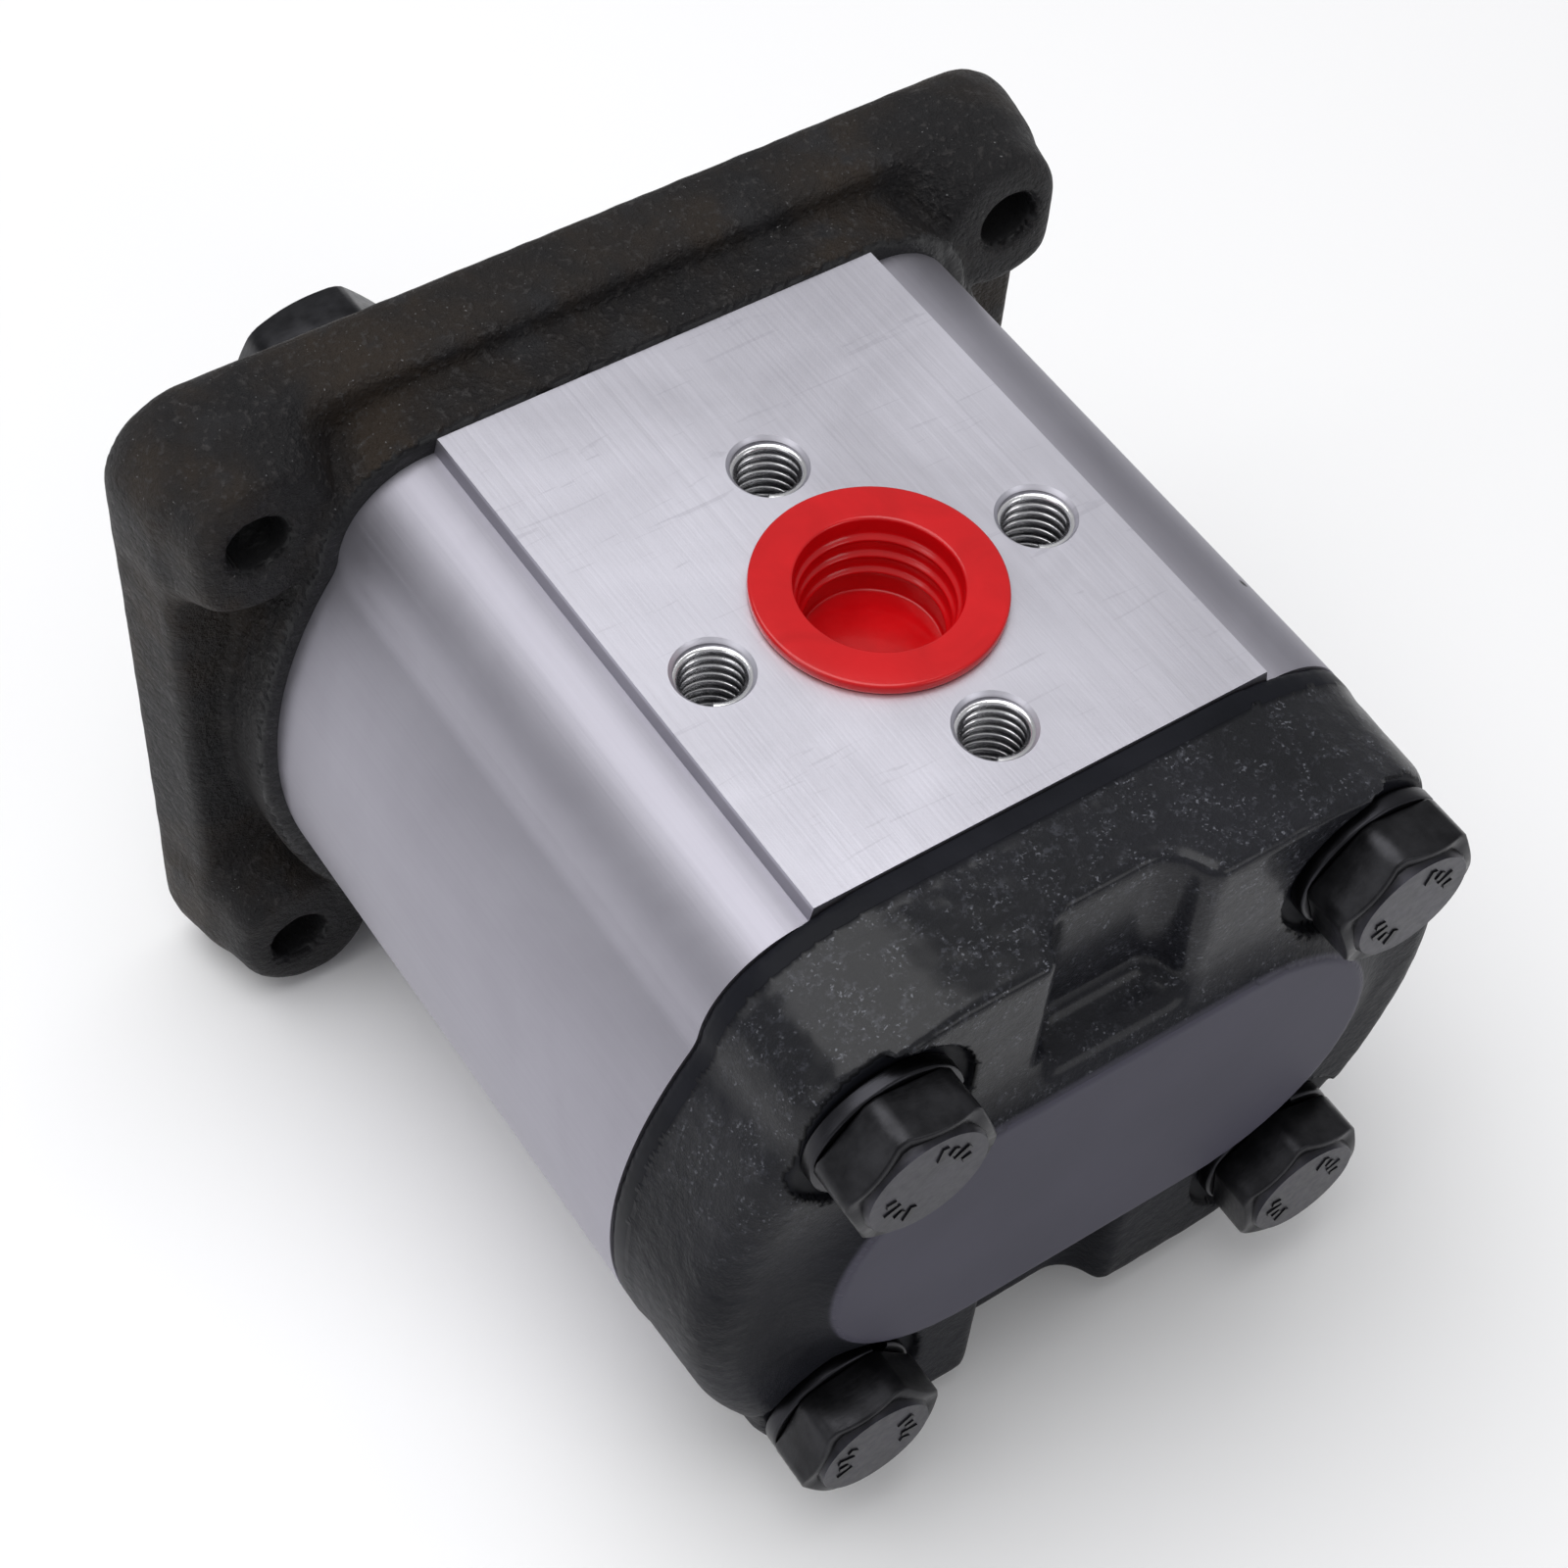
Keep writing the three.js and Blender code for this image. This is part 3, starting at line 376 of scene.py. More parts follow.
def cast_mesh(name, solid, low, high, step):
    """The surface of a solid given as a distance, as an even net of four-sided faces."""
    axes = [np.arange(a - 2 * step, b + 3 * step, step) for a, b in zip(low, high)]
    grid = np.meshgrid(*axes, indexing="ij")
    depth, worked = solid(*grid)
    inside = depth < 0
    shape = [n - 1 for n in inside.shape]
    total = np.zeros(shape)
    places = np.zeros((*shape, 3))
    for axis in range(3):
        others = [a for a in range(3) if a != axis]
        a, b = along_axis(axis, depth)
        crossed = (a < 0) != (b < 0)
        share = np.where(crossed, a / np.where(crossed, a - b, 1), 0)
        for du in (0, 1):
            for dv in (0, 1):
                part = [slice(None)] * 3
                part[others[0]] = slice(du, inside.shape[others[0]] - 1 + du)
                part[others[1]] = slice(dv, inside.shape[others[1]] - 1 + dv)
                hit = crossed[tuple(part)]
                total += hit
                places[..., axis] += np.where(hit, share[tuple(part)], 0)
                places[..., others[0]] += hit * du
                places[..., others[1]] += hit * dv
    used = total > 0
    number = np.full(shape, -1)
    number[used] = np.arange(used.sum())
    cell = np.argwhere(used)
    points = cell + places[used] / total[used][:, None]
    points = points * step + np.array([a[0] for a in axes])
    faces = []
    for axis in range(3):
        u, v = (axis + 1) % 3, (axis + 2) % 3
        a, b = along_axis(axis, inside)
        edges = np.argwhere(a != b)
        outward = a[tuple(edges.T)]
        ring = []
        for du, dv in ((0, 0), (1, 0), (1, 1), (0, 1)):
            near = edges.copy()
            near[:, u] -= du
            near[:, v] -= dv
            ring.append(number[tuple(near.T)])
        quads = np.stack(ring, axis=1)
        quads[~outward] = quads[~outward][:, ::-1]
        faces.append(quads)
    faces = np.concatenate(faces)
    mesh = bpy.data.meshes.new(name)
    mesh.vertices.add(len(points))
    mesh.vertices.foreach_set("co", points.astype(np.float32).ravel())
    mesh.loops.add(faces.size)
    mesh.loops.foreach_set("vertex_index", faces.astype(np.int32).ravel())
    mesh.polygons.add(len(faces))
    mesh.polygons.foreach_set("loop_start", np.arange(0, faces.size, 4, dtype=np.int32))
    mesh.update(calc_edges=True)
    mesh.validate()
    nearest = [
        np.clip(np.rint((points[:, i] - marks[0]) / step), 0, len(marks) - 1)
        for i, marks in enumerate(axes)
    ]
    values = worked[tuple(np.array(nearest).astype(int))]
    machined = mesh.attributes.new("machined", "FLOAT", "POINT")
    machined.data.foreach_set("value", values.astype(np.float32))
    net = bmesh.new()
    net.from_mesh(mesh)
    smoothing_passes = 2
    every_way = {"use_axis_x": True, "use_axis_y": True, "use_axis_z": True}
    for _ in range(smoothing_passes):
        bmesh.ops.smooth_vert(net, verts=net.verts, factor=0.5, **every_way)
    net.to_mesh(mesh)
    net.free()
    mesh.shade_smooth()
    return mesh


def add_piece(name, mesh, material, body, slot, *nodes):
    """Puts a finished mesh in the scene, for the CAD nodes it stands for."""
    piece = bpy.data.objects.new(name, mesh)
    bpy.context.scene.collection.objects.link(piece)
    mesh.materials.clear()
    mesh.materials.append(material)
    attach(piece, body)
    if nodes:
        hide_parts(*nodes)
    return piece


def flange_solid(x, y, z):
    """The flange as a distance, and where it is machined."""
    lean = np.clip(y / ear_back, 0, 1)
    corner = plate_corner - plate_draft_z * lean
    qx = np.abs(x - middle_x) - (plate_half_x - plate_draft_x * lean) + corner
    qz = np.abs(z) - (plate_half_z - plate_draft_z * lean) + corner
    rim = np.hypot(np.maximum(qx, 0), np.maximum(qz, 0))
    rim = rim + np.minimum(np.maximum(qx, qz), 0) - corner
    plate = edged(edged(rim, plate_back - y, 1.3 * mm), y, 1.6 * mm)
    rise = np.clip((y - ear_back) / (plate_back - ear_back), 0, 1)
    ears = drilled(x, z, corners(mount_reach), ear_radius + ear_flare * rise)
    ears = edged(edged(ears, ear_back - y, 0.9 * mm), y + inside_metal, 0.5 * mm)
    ears = edged(ears, rim, 1.8 * mm)
    flat_x, flat_z = x[:, 0, :], z[:, 0, :]
    seat_outline = housing_outline(seat_rim_side, seat_rim_top, stepped=False)
    seat_edge = outline_distance(seat_outline, flat_x, flat_z)
    seat_edge = np.broadcast_to(seat_edge[:, None, :], x.shape)
    seat = edged(edged(seat_edge, joint_front - y, 0.5 * mm), y + inside_metal, 0.5 * mm)
    raised = filleted(filleted(plate, ears, 2.0 * mm), seat, 0.6 * mm)
    raised = raised + ripple(x, y, z, 5, 4.5 * mm) * 0.045 * mm
    raised = np.maximum(np.maximum(raised, y), joint_front - y)
    spigot = edged(np.hypot(x, z) - spigot_radius, y - spigot_front, 0.8 * mm)
    raised = np.minimum(raised, np.maximum(spigot, -inside_metal - y))
    bore = np.where(y > seal_floor, seal_bore, shaft_hole)
    bore = np.where((y > circlip_back) & (y < circlip_front), circlip_groove, bore)
    behind = y - joint_front
    bolts = drilled(x, z, corners(bolt_reach), bolt_hole)
    dowels = drilled(x, z, dowel_places, dowel_hole)
    holes = np.minimum(np.hypot(x, z) - bore, drilled(x, z, corners(mount_reach), mount_hole))
    holes = np.minimum(holes, np.maximum(bolts, behind - bolt_hole_depth))
    holes = np.minimum(holes, np.maximum(dowels, behind - dowel_hole_depth))
    machined = (y > -0.4 * mm) | (y < joint_front + 0.25 * mm) | (holes < 0.3 * mm)
    return edged(raised, -holes, 0.35 * mm), machined.astype(float)


flange = Finish("dipped_cast_iron", Specular_IOR_Level=0.2)
skin_grain = flange.place.noise(1100, detail=5, roughness=0.65)
stains = flange.place.noise(45, detail=5, roughness=0.6, distortion=0.4)
patches = flange.place.noise(160, detail=4)
specks = flange.place.noise(2600, detail=2).above(0.73, 0.03)
bare = flange.attribute("machined")
iron = stains.above(0.54, 0.12).between((0.010, 0.0095, 0.0105), (0.026, 0.019, 0.014))
iron = patches.above(0.62, 0.12).between(iron, (0.018, 0.0175, 0.019))
iron = (specks * 0.6).between(iron, (0.28, 0.28, 0.29))
iron = bare.above(0.5, 0.3).between(iron, (0.017, 0.017, 0.018))
# Painted glints: clustered grains of the cast skin are coloured lighter, standing in for light
# sparkling on the rough surface.
painted_grain_glints = skin_grain.above(0.60, 0.06) * (1 - bare) * (stains * 0.6 + patches * 0.6)
iron = painted_grain_glints.between(iron, (0.048, 0.045, 0.045))
mounting_face = flange.place.part("Y").above(-0.4 * mm, 0.2 * mm)
turning = flange.place.stretched(300, 300, 4000).noise(1.0, detail=2)
faced_iron = turning.above(0.5, 0.4).between((0.15, 0.15, 0.155), (0.22, 0.22, 0.23))
flange.feed(Base_Color=mounting_face.between(iron, faced_iron), Metallic=mounting_face * 0.6)
flange.feed(Roughness=0.5 + (skin_grain - 0.5) * 0.5 - bare * 0.18)
flange.relief(skin_grain * (1 - bare * 0.8) + patches * 1.1, 0.85 * mm, 0.9)
flange_mesh = cast_mesh("front_flange_casting", flange_solid, flange_low, flange_high, 0.62 * mm)
add_piece(
    "front_flange_casting", flange_mesh, flange.material, "housing", "flange_iron", "front_flange"
)

# ------------------------------------------------------------------ pump body
# Extruded aluminium, sawn to length, with its end faces milled and its bores, ports and port
# screw holes machined. The sides keep the satin skin and die lines of the extrusion.


def solid_mesh(name, points, faces):
    mesh = bpy.data.meshes.new(name)
    mesh.from_pydata(points, [], faces)
    tool = bmesh.new()
    tool.from_mesh(mesh)
    bmesh.ops.remove_doubles(tool, verts=tool.verts, dist=1e-7)
    bmesh.ops.recalc_face_normals(tool, faces=tool.faces)
    tool.to_mesh(mesh)
    tool.free()
    return mesh


def prism(name, outline, back, front):
    """A straight solid along Y with this section."""
    count = len(outline)
    points = [(x, back, z) for x, z in outline] + [(x, front, z) for x, z in outline]
    walls = [(i, (i + 1) % count, count + (i + 1) % count, count + i) for i in range(count)]
    caps = [tuple(range(count - 1, -1, -1)), tuple(range(count, 2 * count))]
    return solid_mesh(name, points, walls + caps)


def turned(name, profile, centre, axis="Y", segments=96, closed=False):
    """A turned solid. The profile is a list of (radius, distance along the axis)."""
    points, faces = [], []
    rows = len(profile)
    for k in range(segments):
        angle = 2 * math.pi * k / segments
        for radius, along in profile:
            a, b = radius * math.cos(angle), radius * math.sin(angle)
            spot = (a, along, b) if axis == "Y" else (a, b, along)
            points.append(tuple(c + s for c, s in zip(centre, spot)))
    spans = rows if closed else rows - 1
    for k in range(segments):
        after = (k + 1) % segments
        for i in range(spans):
            j = (i + 1) % rows
            faces.append((k * rows + i, k * rows + j, after * rows + j, after * rows + i))
    return solid_mesh(name, points, faces)


def worked_out(holder, name):
    """A holder's mesh after its modifiers, as a plain mesh. The holder is thrown away."""
    bpy.context.view_layer.update()
    shaped = bpy.data.meshes.new_from_object(
        holder.evaluated_get(bpy.context.evaluated_depsgraph_get())
    )
    shaped.name = name
    bpy.data.objects.remove(holder)
    return shaped


def with_modifier(mesh, kind, settings):
    """The mesh after one modifier with these settings, as a plain mesh."""
    holder = bpy.data.objects.new("holder", mesh)
    bpy.context.scene.collection.objects.link(holder)
    modifier = holder.modifiers.new(kind, kind)
    for key, value in settings.items():
        setattr(modifier, key, value)
    return worked_out(holder, mesh.name)


def cut(mesh, *tools):
    """The mesh with the tools' shapes cut out of it."""
    group = bpy.data.collections.new("cutters")
    bpy.context.scene.collection.children.link(group)
    for tool in tools:
        group.objects.link(bpy.data.objects.new("cutter", tool))
    settings = {"operand_type": "COLLECTION", "collection": group, "operation": "DIFFERENCE"}
    settings |= {"solver": "EXACT", "use_self": True}
    shaped = with_modifier(mesh, "BOOLEAN", settings)
    for cutter in list(group.objects):
        bpy.data.objects.remove(cutter)
    bpy.data.collections.remove(group)
    return shaped


def crisp(mesh, width):
    """A machined piece's edges: broken by a small even bevel, with flat faces left flat."""
    bevel = {"width": width, "segments": 2, "limit_method": "ANGLE"}
    bevel |= {"angle_limit": math.radians(32), "harden_normals": True}
    bevel |= {"miter_outer": "MITER_ARC", "use_clamp_overlap": True}
    mesh.shade_smooth()
    return with_modifier(mesh, "BEVEL", bevel)


port_y = joint_front - 40.7 * mm
inlet_radius, outlet_radius = 10 * mm, 7.5 * mm
passage_floor = 6.4 * mm
gear_bore = 18.4 * mm
hole_chamfer = 0.45 * mm
broken_edge = 0.22 * mm
inlet_thread = {"radius": 4 * mm, "pitch": 1.25 * mm, "circle": 20 * mm, "depth": 14.8 * mm}
outlet_thread = {"radius": 3 * mm, "pitch": 1.0 * mm, "circle": 17.5 * mm, "depth": 11.1 * mm}


def port_holes(thread):
    """The four screw holes round a port, beside it and then ahead and behind."""
    reach = thread["circle"]
    steps = ((1, 0), (-1, 0), (0, 1), (0, -1))
    return [(middle_x + dx * reach, port_y + dy * reach) for dx, dy in steps]


def straight(radius, low, high):
    """The profile of a plain cylinder."""
    return [(0, low), (radius, low), (radius, high), (0, high)]


cutters = []
for side, port, thread in ((1, inlet_radius, inlet_thread), (-1, outlet_radius, outlet_thread)):
    face = side * port_z
    beyond = face + side * mm
    passage = straight(port, side * passage_floor, beyond)
    cutters.append(turned("port", passage, (middle_x, port_y, 0), "Z"))
    radius, depth = thread["radius"], thread["depth"]
    bottom = face - side * depth
    hole = [
        (0, bottom - side * radius * 0.5),
        (radius, bottom),
        (radius, face - side * hole_chamfer),
        (radius + hole_chamfer, face),
        (radius + hole_chamfer, beyond),
        (0, beyond),
    ]
    for hx, hy in port_holes(thread):
        cutters.append(turned("screw_hole", hole, (hx, hy, 0), "Z", 64))
through = (joint_rear - mm, joint_front + mm)
for gx in (0, gear_spread):
    bore = straight(gear_bore, *through)
    cutters.append(turned("gear_bore", bore, (gx, 0, 0), "Y", 96))
for bx, bz in corners(bolt_reach):
    bore = straight(bolt_hole, *through)
    cutters.append(turned("bolt_bore", bore, (bx, 0, bz), "Y", 32))
blank = prism("pump_body_extrusion", housing_outline(fine=3), joint_rear, joint_front)
body_mesh = crisp(cut(blank, *cutters), broken_edge)

alloy = Finish("satin_extruded_aluminium", Metallic=0.95)
die_lines = alloy.place.stretched(2600, 14, 2600).noise(1.0, detail=3)
haze = alloy.place.noise(38, detail=4, distortion=0.6)
fine = alloy.place.noise(3800, detail=2)
turned_way = alloy.place.stretched(9000, 300, 300).noise(1.0, detail=2)
pits = alloy.place.node("TexVoronoi", {"feature": "F1"}, {"Vector": alloy.place, "Scale": 95.0})
rarely = alloy.place.noise(60, detail=1).above(0.6, 0.04)
dark_pit = (1 - pits.above(0.055, 0.02)) * rarely
height = alloy.place.part("Z")
milled_from = port_z - 0.4 * mm
milled = height.above(milled_from, 0.2 * mm) + (0 - height).above(milled_from, 0.2 * mm)
# Partly painted light: the milled port faces get a brighter colour than the drawn sides. This is
# partly their finish, and partly painted light on the top and painted shade on the sides.
drawn_and_shaded_sides = haze.above(0.5, 0.3).between((0.335, 0.325, 0.37), (0.40, 0.39, 0.44))
bright = haze.above(0.5, 0.3).between((0.56, 0.55, 0.61), (0.67, 0.66, 0.73))
scuff = alloy.place.stretched(60, 700, 60).noise(1.0, detail=3, distortion=1.5).above(0.66, 0.03)
bright = (scuff * 0.5).between(bright, (0.50, 0.49, 0.55))
lit_faces_shaded_sides = milled.between(drawn_and_shaded_sides, bright)
alloy.feed(Base_Color=dark_pit.between(lit_faces_shaded_sides, (0.10, 0.10, 0.10)))
satin = 0.50 - milled * 0.08 + (haze - 0.5) * 0.16 + (die_lines - 0.5) * 0.14
alloy.feed(Roughness=satin + dark_pit * 0.3)
alloy.relief(die_lines * 0.5 + fine * 0.2 + turned_way * 0.15 - dark_pit * 2.0, 0.035 * mm, 0.6)
add_piece(
    "pump_body_extrusion", body_mesh, alloy.material, "housing", "body_aluminium", "pump_body"
)

# ------------------------------------------------------------------ screw threads
# Cut threads in the eight port screw holes. Each is one ridge that follows a helix and stands
# half in the wall that it is cut from.


class Bench:
    """A Geometry Nodes tree with named inputs, made here and worked on a bare object."""

    def __init__(self, name, **inputs):
        self.tree = bpy.data.node_groups.new(name, "GeometryNodeTree")
        self.tree.interface.new_socket("Result", in_out="OUTPUT", socket_type="NodeSocketGeometry")
        self.sockets = {}
        for label, kind in inputs.items():
            made = self.tree.interface.new_socket(
                label, in_out="INPUT", socket_type="NodeSocket" + kind
            )
            self.sockets[label] = made.identifier
        self.given = self.tree.nodes.new("NodeGroupInput")

    def node(self, kind, settings=None, output=0, **inputs):
        made = self.tree.nodes.new(kind)
        for key, value in (settings or {}).items():
            setattr(made, key, value)
        for key, value in inputs.items():
            socket = made.inputs[key.replace("_", " ")]
            if isinstance(value, bpy.types.NodeSocket):
                self.tree.links.new(value, socket)
            else:
                socket.default_value = value
        return made.outputs[output]

    def product(self, a, b):
        made = self.tree.nodes.new("ShaderNodeMath")
        made.operation = "MULTIPLY"
        for place, value in enumerate((a, b)):
            if isinstance(value, bpy.types.NodeSocket):
                self.tree.links.new(value, made.inputs[place])
            else:
                made.inputs[place].default_value = value
        return made.outputs[0]

    def close(self, geometry):
        real = self.node("GeometryNodeRealizeInstances", Geometry=geometry)
        coated = self.node(
            "GeometryNodeSetMaterial", Geometry=real, Material=self.given.outputs["Material"]
        )
        leaving = self.tree.nodes.new("NodeGroupOutput")
        self.tree.links.new(coated, leaving.inputs[0])

    def make(self, name, **values):
        holder = bpy.data.objects.new("bench", bpy.data.meshes.new("bench"))
        bpy.context.scene.collection.objects.link(holder)
        modifier = holder.modifiers.new("bench", "NODES")
        modifier.node_group = self.tree
        for label, value in values.items():
            modifier[self.sockets[label]] = value
        return worked_out(holder, name)


ridge_depth_in_pitches = 0.58
ridge_half_width_in_pitches = 0.46
unthreaded_turns = 1.5
thread_start = 0.7 * mm
sizes = dict.fromkeys(("Radius", "Pitch", "Turns", "Depth"), "Float")
coil = Bench("screw_thread", **sizes, Material="Material")
given = coil.given.outputs
ridge = coil.node("GeometryNodeCurvePrimitiveCircle", Resolution=4, Radius=1.0)
half_width = coil.product(given["Pitch"], ridge_half_width_in_pitches)
across = coil.node("ShaderNodeCombineXYZ", X=given["Depth"], Y=half_width, Z=1.0)
ridge = coil.node("GeometryNodeTransform", Geometry=ridge, Scale=across)
helix = coil.node(
    "GeometryNodeCurveSpiral",
    Resolution=48,
    Rotations=given["Turns"],
    Start_Radius=given["Radius"],
    End_Radius=given["Radius"],
    Height=coil.product(given["Pitch"], given["Turns"]),
)
helix = coil.node("GeometryNodeSetCurveNormal", {"mode": "Z_UP"}, Curve=helix)
swept = coil.node("GeometryNodeCurveToMesh", Curve=helix, Profile_Curve=ridge, Fill_Caps=True)
coil.close(swept)


bright_cut = ground_steel("freshly_cut_aluminium", (0.80, 0.80, 0.82), 0.22, (700, 700, 700))
for label, side, thread in (("inlet", 1, inlet_thread), ("outlet", -1, outlet_thread)):
    turns = thread["depth"] / thread["pitch"] - unthreaded_turns
    start = side * (port_z - (thread["pitch"] * turns + thread_start))
    flip = Matrix.Rotation(math.pi if side < 0 else 0, 4, "X")
    for number, (hx, hy) in enumerate(port_holes(thread), 1):
        name = f"{label}_screw_thread_{number}"
        mesh = coil.make(
            name,
            Radius=thread["radius"],
            Pitch=thread["pitch"],
            Turns=turns,
            Depth=ridge_depth_in_pitches * thread["pitch"],
            Material=bright_cut,
        )
        mesh.transform(Matrix.Translation((hx, hy, start)) @ flip)
        add_piece(name, mesh, bright_cut, "housing", "body_aluminium")

# ------------------------------------------------------------------ rear cover
# Cast iron, painted blue-black, with an obround boss over both shafts and a scooped pocket above
# and below. The boss face, the bolt seats and a band along the joint are machined.

boss_face = cover_low.y
cover_back = boss_face + 2.4 * mm
boss_radius = 18.6 * mm
joint_band = 2.5 * mm
lobes_from, lobes_over = 30 * mm, 9 * mm
bolt_seat_radius, bolt_seat_depth = 10.5 * mm, 1.5 * mm
pocket_half_width, pocket_shift, pocket_depth = 9.5 * mm, 1.6 * mm, 4.8 * mm
pocket_floor_z = 21.4 * mm


def cover_solid(x, y, z):
    """The cover as a distance, and where it is machined."""
    flat_x, flat_z = x[:, 0, :], z[:, 0, :]
    edge = outline_distance(housing_outline(stepped=False), flat_x, flat_z)
    edge = np.broadcast_to(edge[:, None, :], x.shape)
    behind = joint_rear - joint_band - y
    rough = ripple(x, y, z, 11, 3.2 * mm) * 0.035 * mm
    wall = edge + np.clip(behind / mm, 0, 1) * 0.25 * mm + np.maximum(behind, 0) * 0.03
    at_lobes = np.clip((np.abs(x - middle_x) - lobes_from) / lobes_over, 0, 1)
    rounding = 1.0 * mm + 3.4 * mm * at_lobes
    block = edged(wall, cover_back - y, rounding) + rough * (behind > 0)
    past_shafts = np.maximum(np.abs(x - middle_x) - middle_x, 0)
    round_ends = np.hypot(past_shafts, z) - boss_radius
    flank = (round_ends - np.maximum(y - boss_face, 0) * 0.9) * 0.75
    boss = edged(flank, boss_face - y, 0.12 * mm)
    boss = np.maximum(boss, y - cover_back - 3 * mm)
    solid = filleted(block, boss, 2.6 * mm)
    deep = np.maximum(y - cover_back, 0)
    for side in (1, -1):
        px = np.abs(x - middle_x + pocket_shift) - pocket_half_width + deep * 0.45
        py = y - cover_back - pocket_depth
        pz = pocket_floor_z + deep * 0.25 - side * z
        scoop = edged(edged(px, py, 2.4 * mm), pz, 2.4 * mm)
        solid = edged(solid, -scoop, 1.3 * mm)
    seats = drilled(x, z, corners(bolt_reach), bolt_seat_radius)
    dowels = drilled(x, z, dowel_places, dowel_hole)
    holes = np.maximum(seats, y - (cover_back + bolt_seat_depth))
    holes = np.minimum(holes, drilled(x, z, corners(bolt_reach), bolt_hole))
    holes = np.minimum(holes, np.maximum(dowels, joint_rear - dowel_hole_depth - y))
    solid = edged(solid, -holes, 0.4 * mm)
    solid = np.maximum(solid, y - joint_rear)
    machined = (y < boss_face + 0.45 * mm) | (behind < 0) | (holes < 0.25 * mm)
    return solid, machined.astype(float)


paint = Finish("blue_black_painted_iron", Coat_Roughness=0.2, Specular_IOR_Level=0.06)
worked = paint.attribute("machined")
sand = paint.place.noise(1300, detail=4, roughness=0.7)
lumps = paint.place.noise(420, detail=4)
least_sand = 0.12
# The sand grows towards the top. The mask taken from it below also keeps the painted glints on the
# top, where the light falls.
sandy = paint.place.part("Z").above(18 * mm, 12 * mm) * (1 - least_sand) + least_sand
unworked = 1 - worked
extra_sand_and_lit_top = sandy - least_sand
tone = paint.place.noise(55, detail=4)
coat = tone.above(0.5, 0.2).between((0.007, 0.0075, 0.010), (0.013, 0.0135, 0.018))
# Painted glints: bright specks on the sand lumps stand in for light sparkling on the sandy top.
glint = paint.place.noise(2300, detail=2).above(0.64, 0.04) * unworked * extra_sand_and_lit_top
glint = glint * lumps.above(0.53, 0.08)
coat = glint.between(coat, (0.15, 0.155, 0.18))
# Painted glints too: lighter grains on the sand lumps of the top stand in for its sparkle.
painted_sand_glints = sand.above(0.57, 0.06) * lumps.above(0.48, 0.1) * unworked * extra_sand_and_lit_top
coat = (painted_sand_glints * 0.7).between(coat, (0.050, 0.052, 0.064))
face_grey = tone.above(0.5, 0.3).between((0.054, 0.052, 0.072), (0.074, 0.071, 0.095))
rear_face = 1 - paint.place.part("Y").above(boss_face + 0.5 * mm, 0.2 * mm)
coat = rear_face.between(coat, face_grey)
paint.feed(Base_Color=coat, Coat_Weight=unworked * extra_sand_and_lit_top * 0.5)
paint.feed(Roughness=0.42 + (tone - 0.5) * 0.2 + unworked * (sand - 0.5) * 0.3)
paint.relief((sand * 0.9 + lumps * 1.4) * (1 - worked * 0.95) * sandy, 0.85 * mm, 0.9)
cover_mesh = cast_mesh("rear_cover_casting", cover_solid, cover_low, cover_high, 0.5 * mm)
add_piece(
    "rear_cover_casting", cover_mesh, paint.material, "housing", "cover_iron", "rear_cover"
)

# ------------------------------------------------------------------ spring washers
# Split rings of square-section spring steel, blackened, one under each bolt head. Each stands on
# the machined seat, its ends a little out of line.

ring_radius, ring_width, ring_rise = 7.05 * mm, 3.5 * mm, 0.3 * mm
ring_corner = 0.35 * mm
ring_turns = 0.955
sizes = dict.fromkeys(("Radius", "Width", "Thickness", "Rise"), "Float")
washer = Bench("split_ring", **sizes, Material="Material")
given = washer.given.outputs
wire = washer.node(
    "GeometryNodeCurvePrimitiveQuadrilateral", Width=given["Width"], Height=given["Thickness"]
)
wire = washer.node(
    "GeometryNodeFilletCurve", {"mode": "POLY"}, Curve=wire, Count=3, Radius=ring_corner
)
ring = washer.node(
    "GeometryNodeCurveSpiral",
    Resolution=90,
    Rotations=ring_turns,
    Start_Radius=given["Radius"],
    End_Radius=given["Radius"],
    Height=given["Rise"],
)
ring = washer.node("GeometryNodeSetCurveNormal", {"mode": "Z_UP"}, Curve=ring)
washer.close(washer.node("GeometryNodeCurveToMesh", Curve=ring, Profile_Curve=wire, Fill_Caps=True))

spring_steel = ground_steel("blackened_spring_steel", (0.035, 0.035, 0.04), 0.34, (500, 9000, 500))
dress("seal_circlip", spring_steel)
for number, (bx, bz) in enumerate(corners(bolt_reach), 1):
    low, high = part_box(f"spring_washer_{number}")
    thickness = high.y - low.y - ring_rise
    split = Matrix.Rotation(-0.6 + 0.5 * number, 4, "Z")
    lay = Matrix.Rotation(math.pi / 2, 4, "X")
    mesh = washer.make(
        f"split_ring_{number}",
        Radius=ring_radius,
        Width=ring_width,
        Thickness=thickness,
        Rise=ring_rise,
        Material=spring_steel,
    )
    mesh.transform(Matrix.Translation((bx, high.y - thickness / 2, bz)) @ lay @ split)
    name = f"spring_washer_{number}_ring"
    add_piece(name, mesh, spring_steel, "housing", "spring_steel", f"spring_washer_{number}")

# ------------------------------------------------------------------ assembly bolts
# Four hex bolts, cold headed and blackened, that clamp cover, body and flange together. Each
# head's corners are faced to a cone, and its flat end carries plain raised strokes.

head_flats = 16 * mm
head_height = 6.4 * mm
head_face = 6.9 * mm
shank_radius = 5 * mm
tip_radius, tip_length = 3.8 * mm, 1.2 * mm
overlap = 0.05 * mm
stroke_ring = 4.3 * mm
stroke_length, short_stroke, stroke_width, stroke_depth = 2.0 * mm, 1.1 * mm, 0.75 * mm, 0.36 * mm
stroke_count, strokes_before_gap = 8, 4
head_turns_deg = (9, 10, 50, 20)


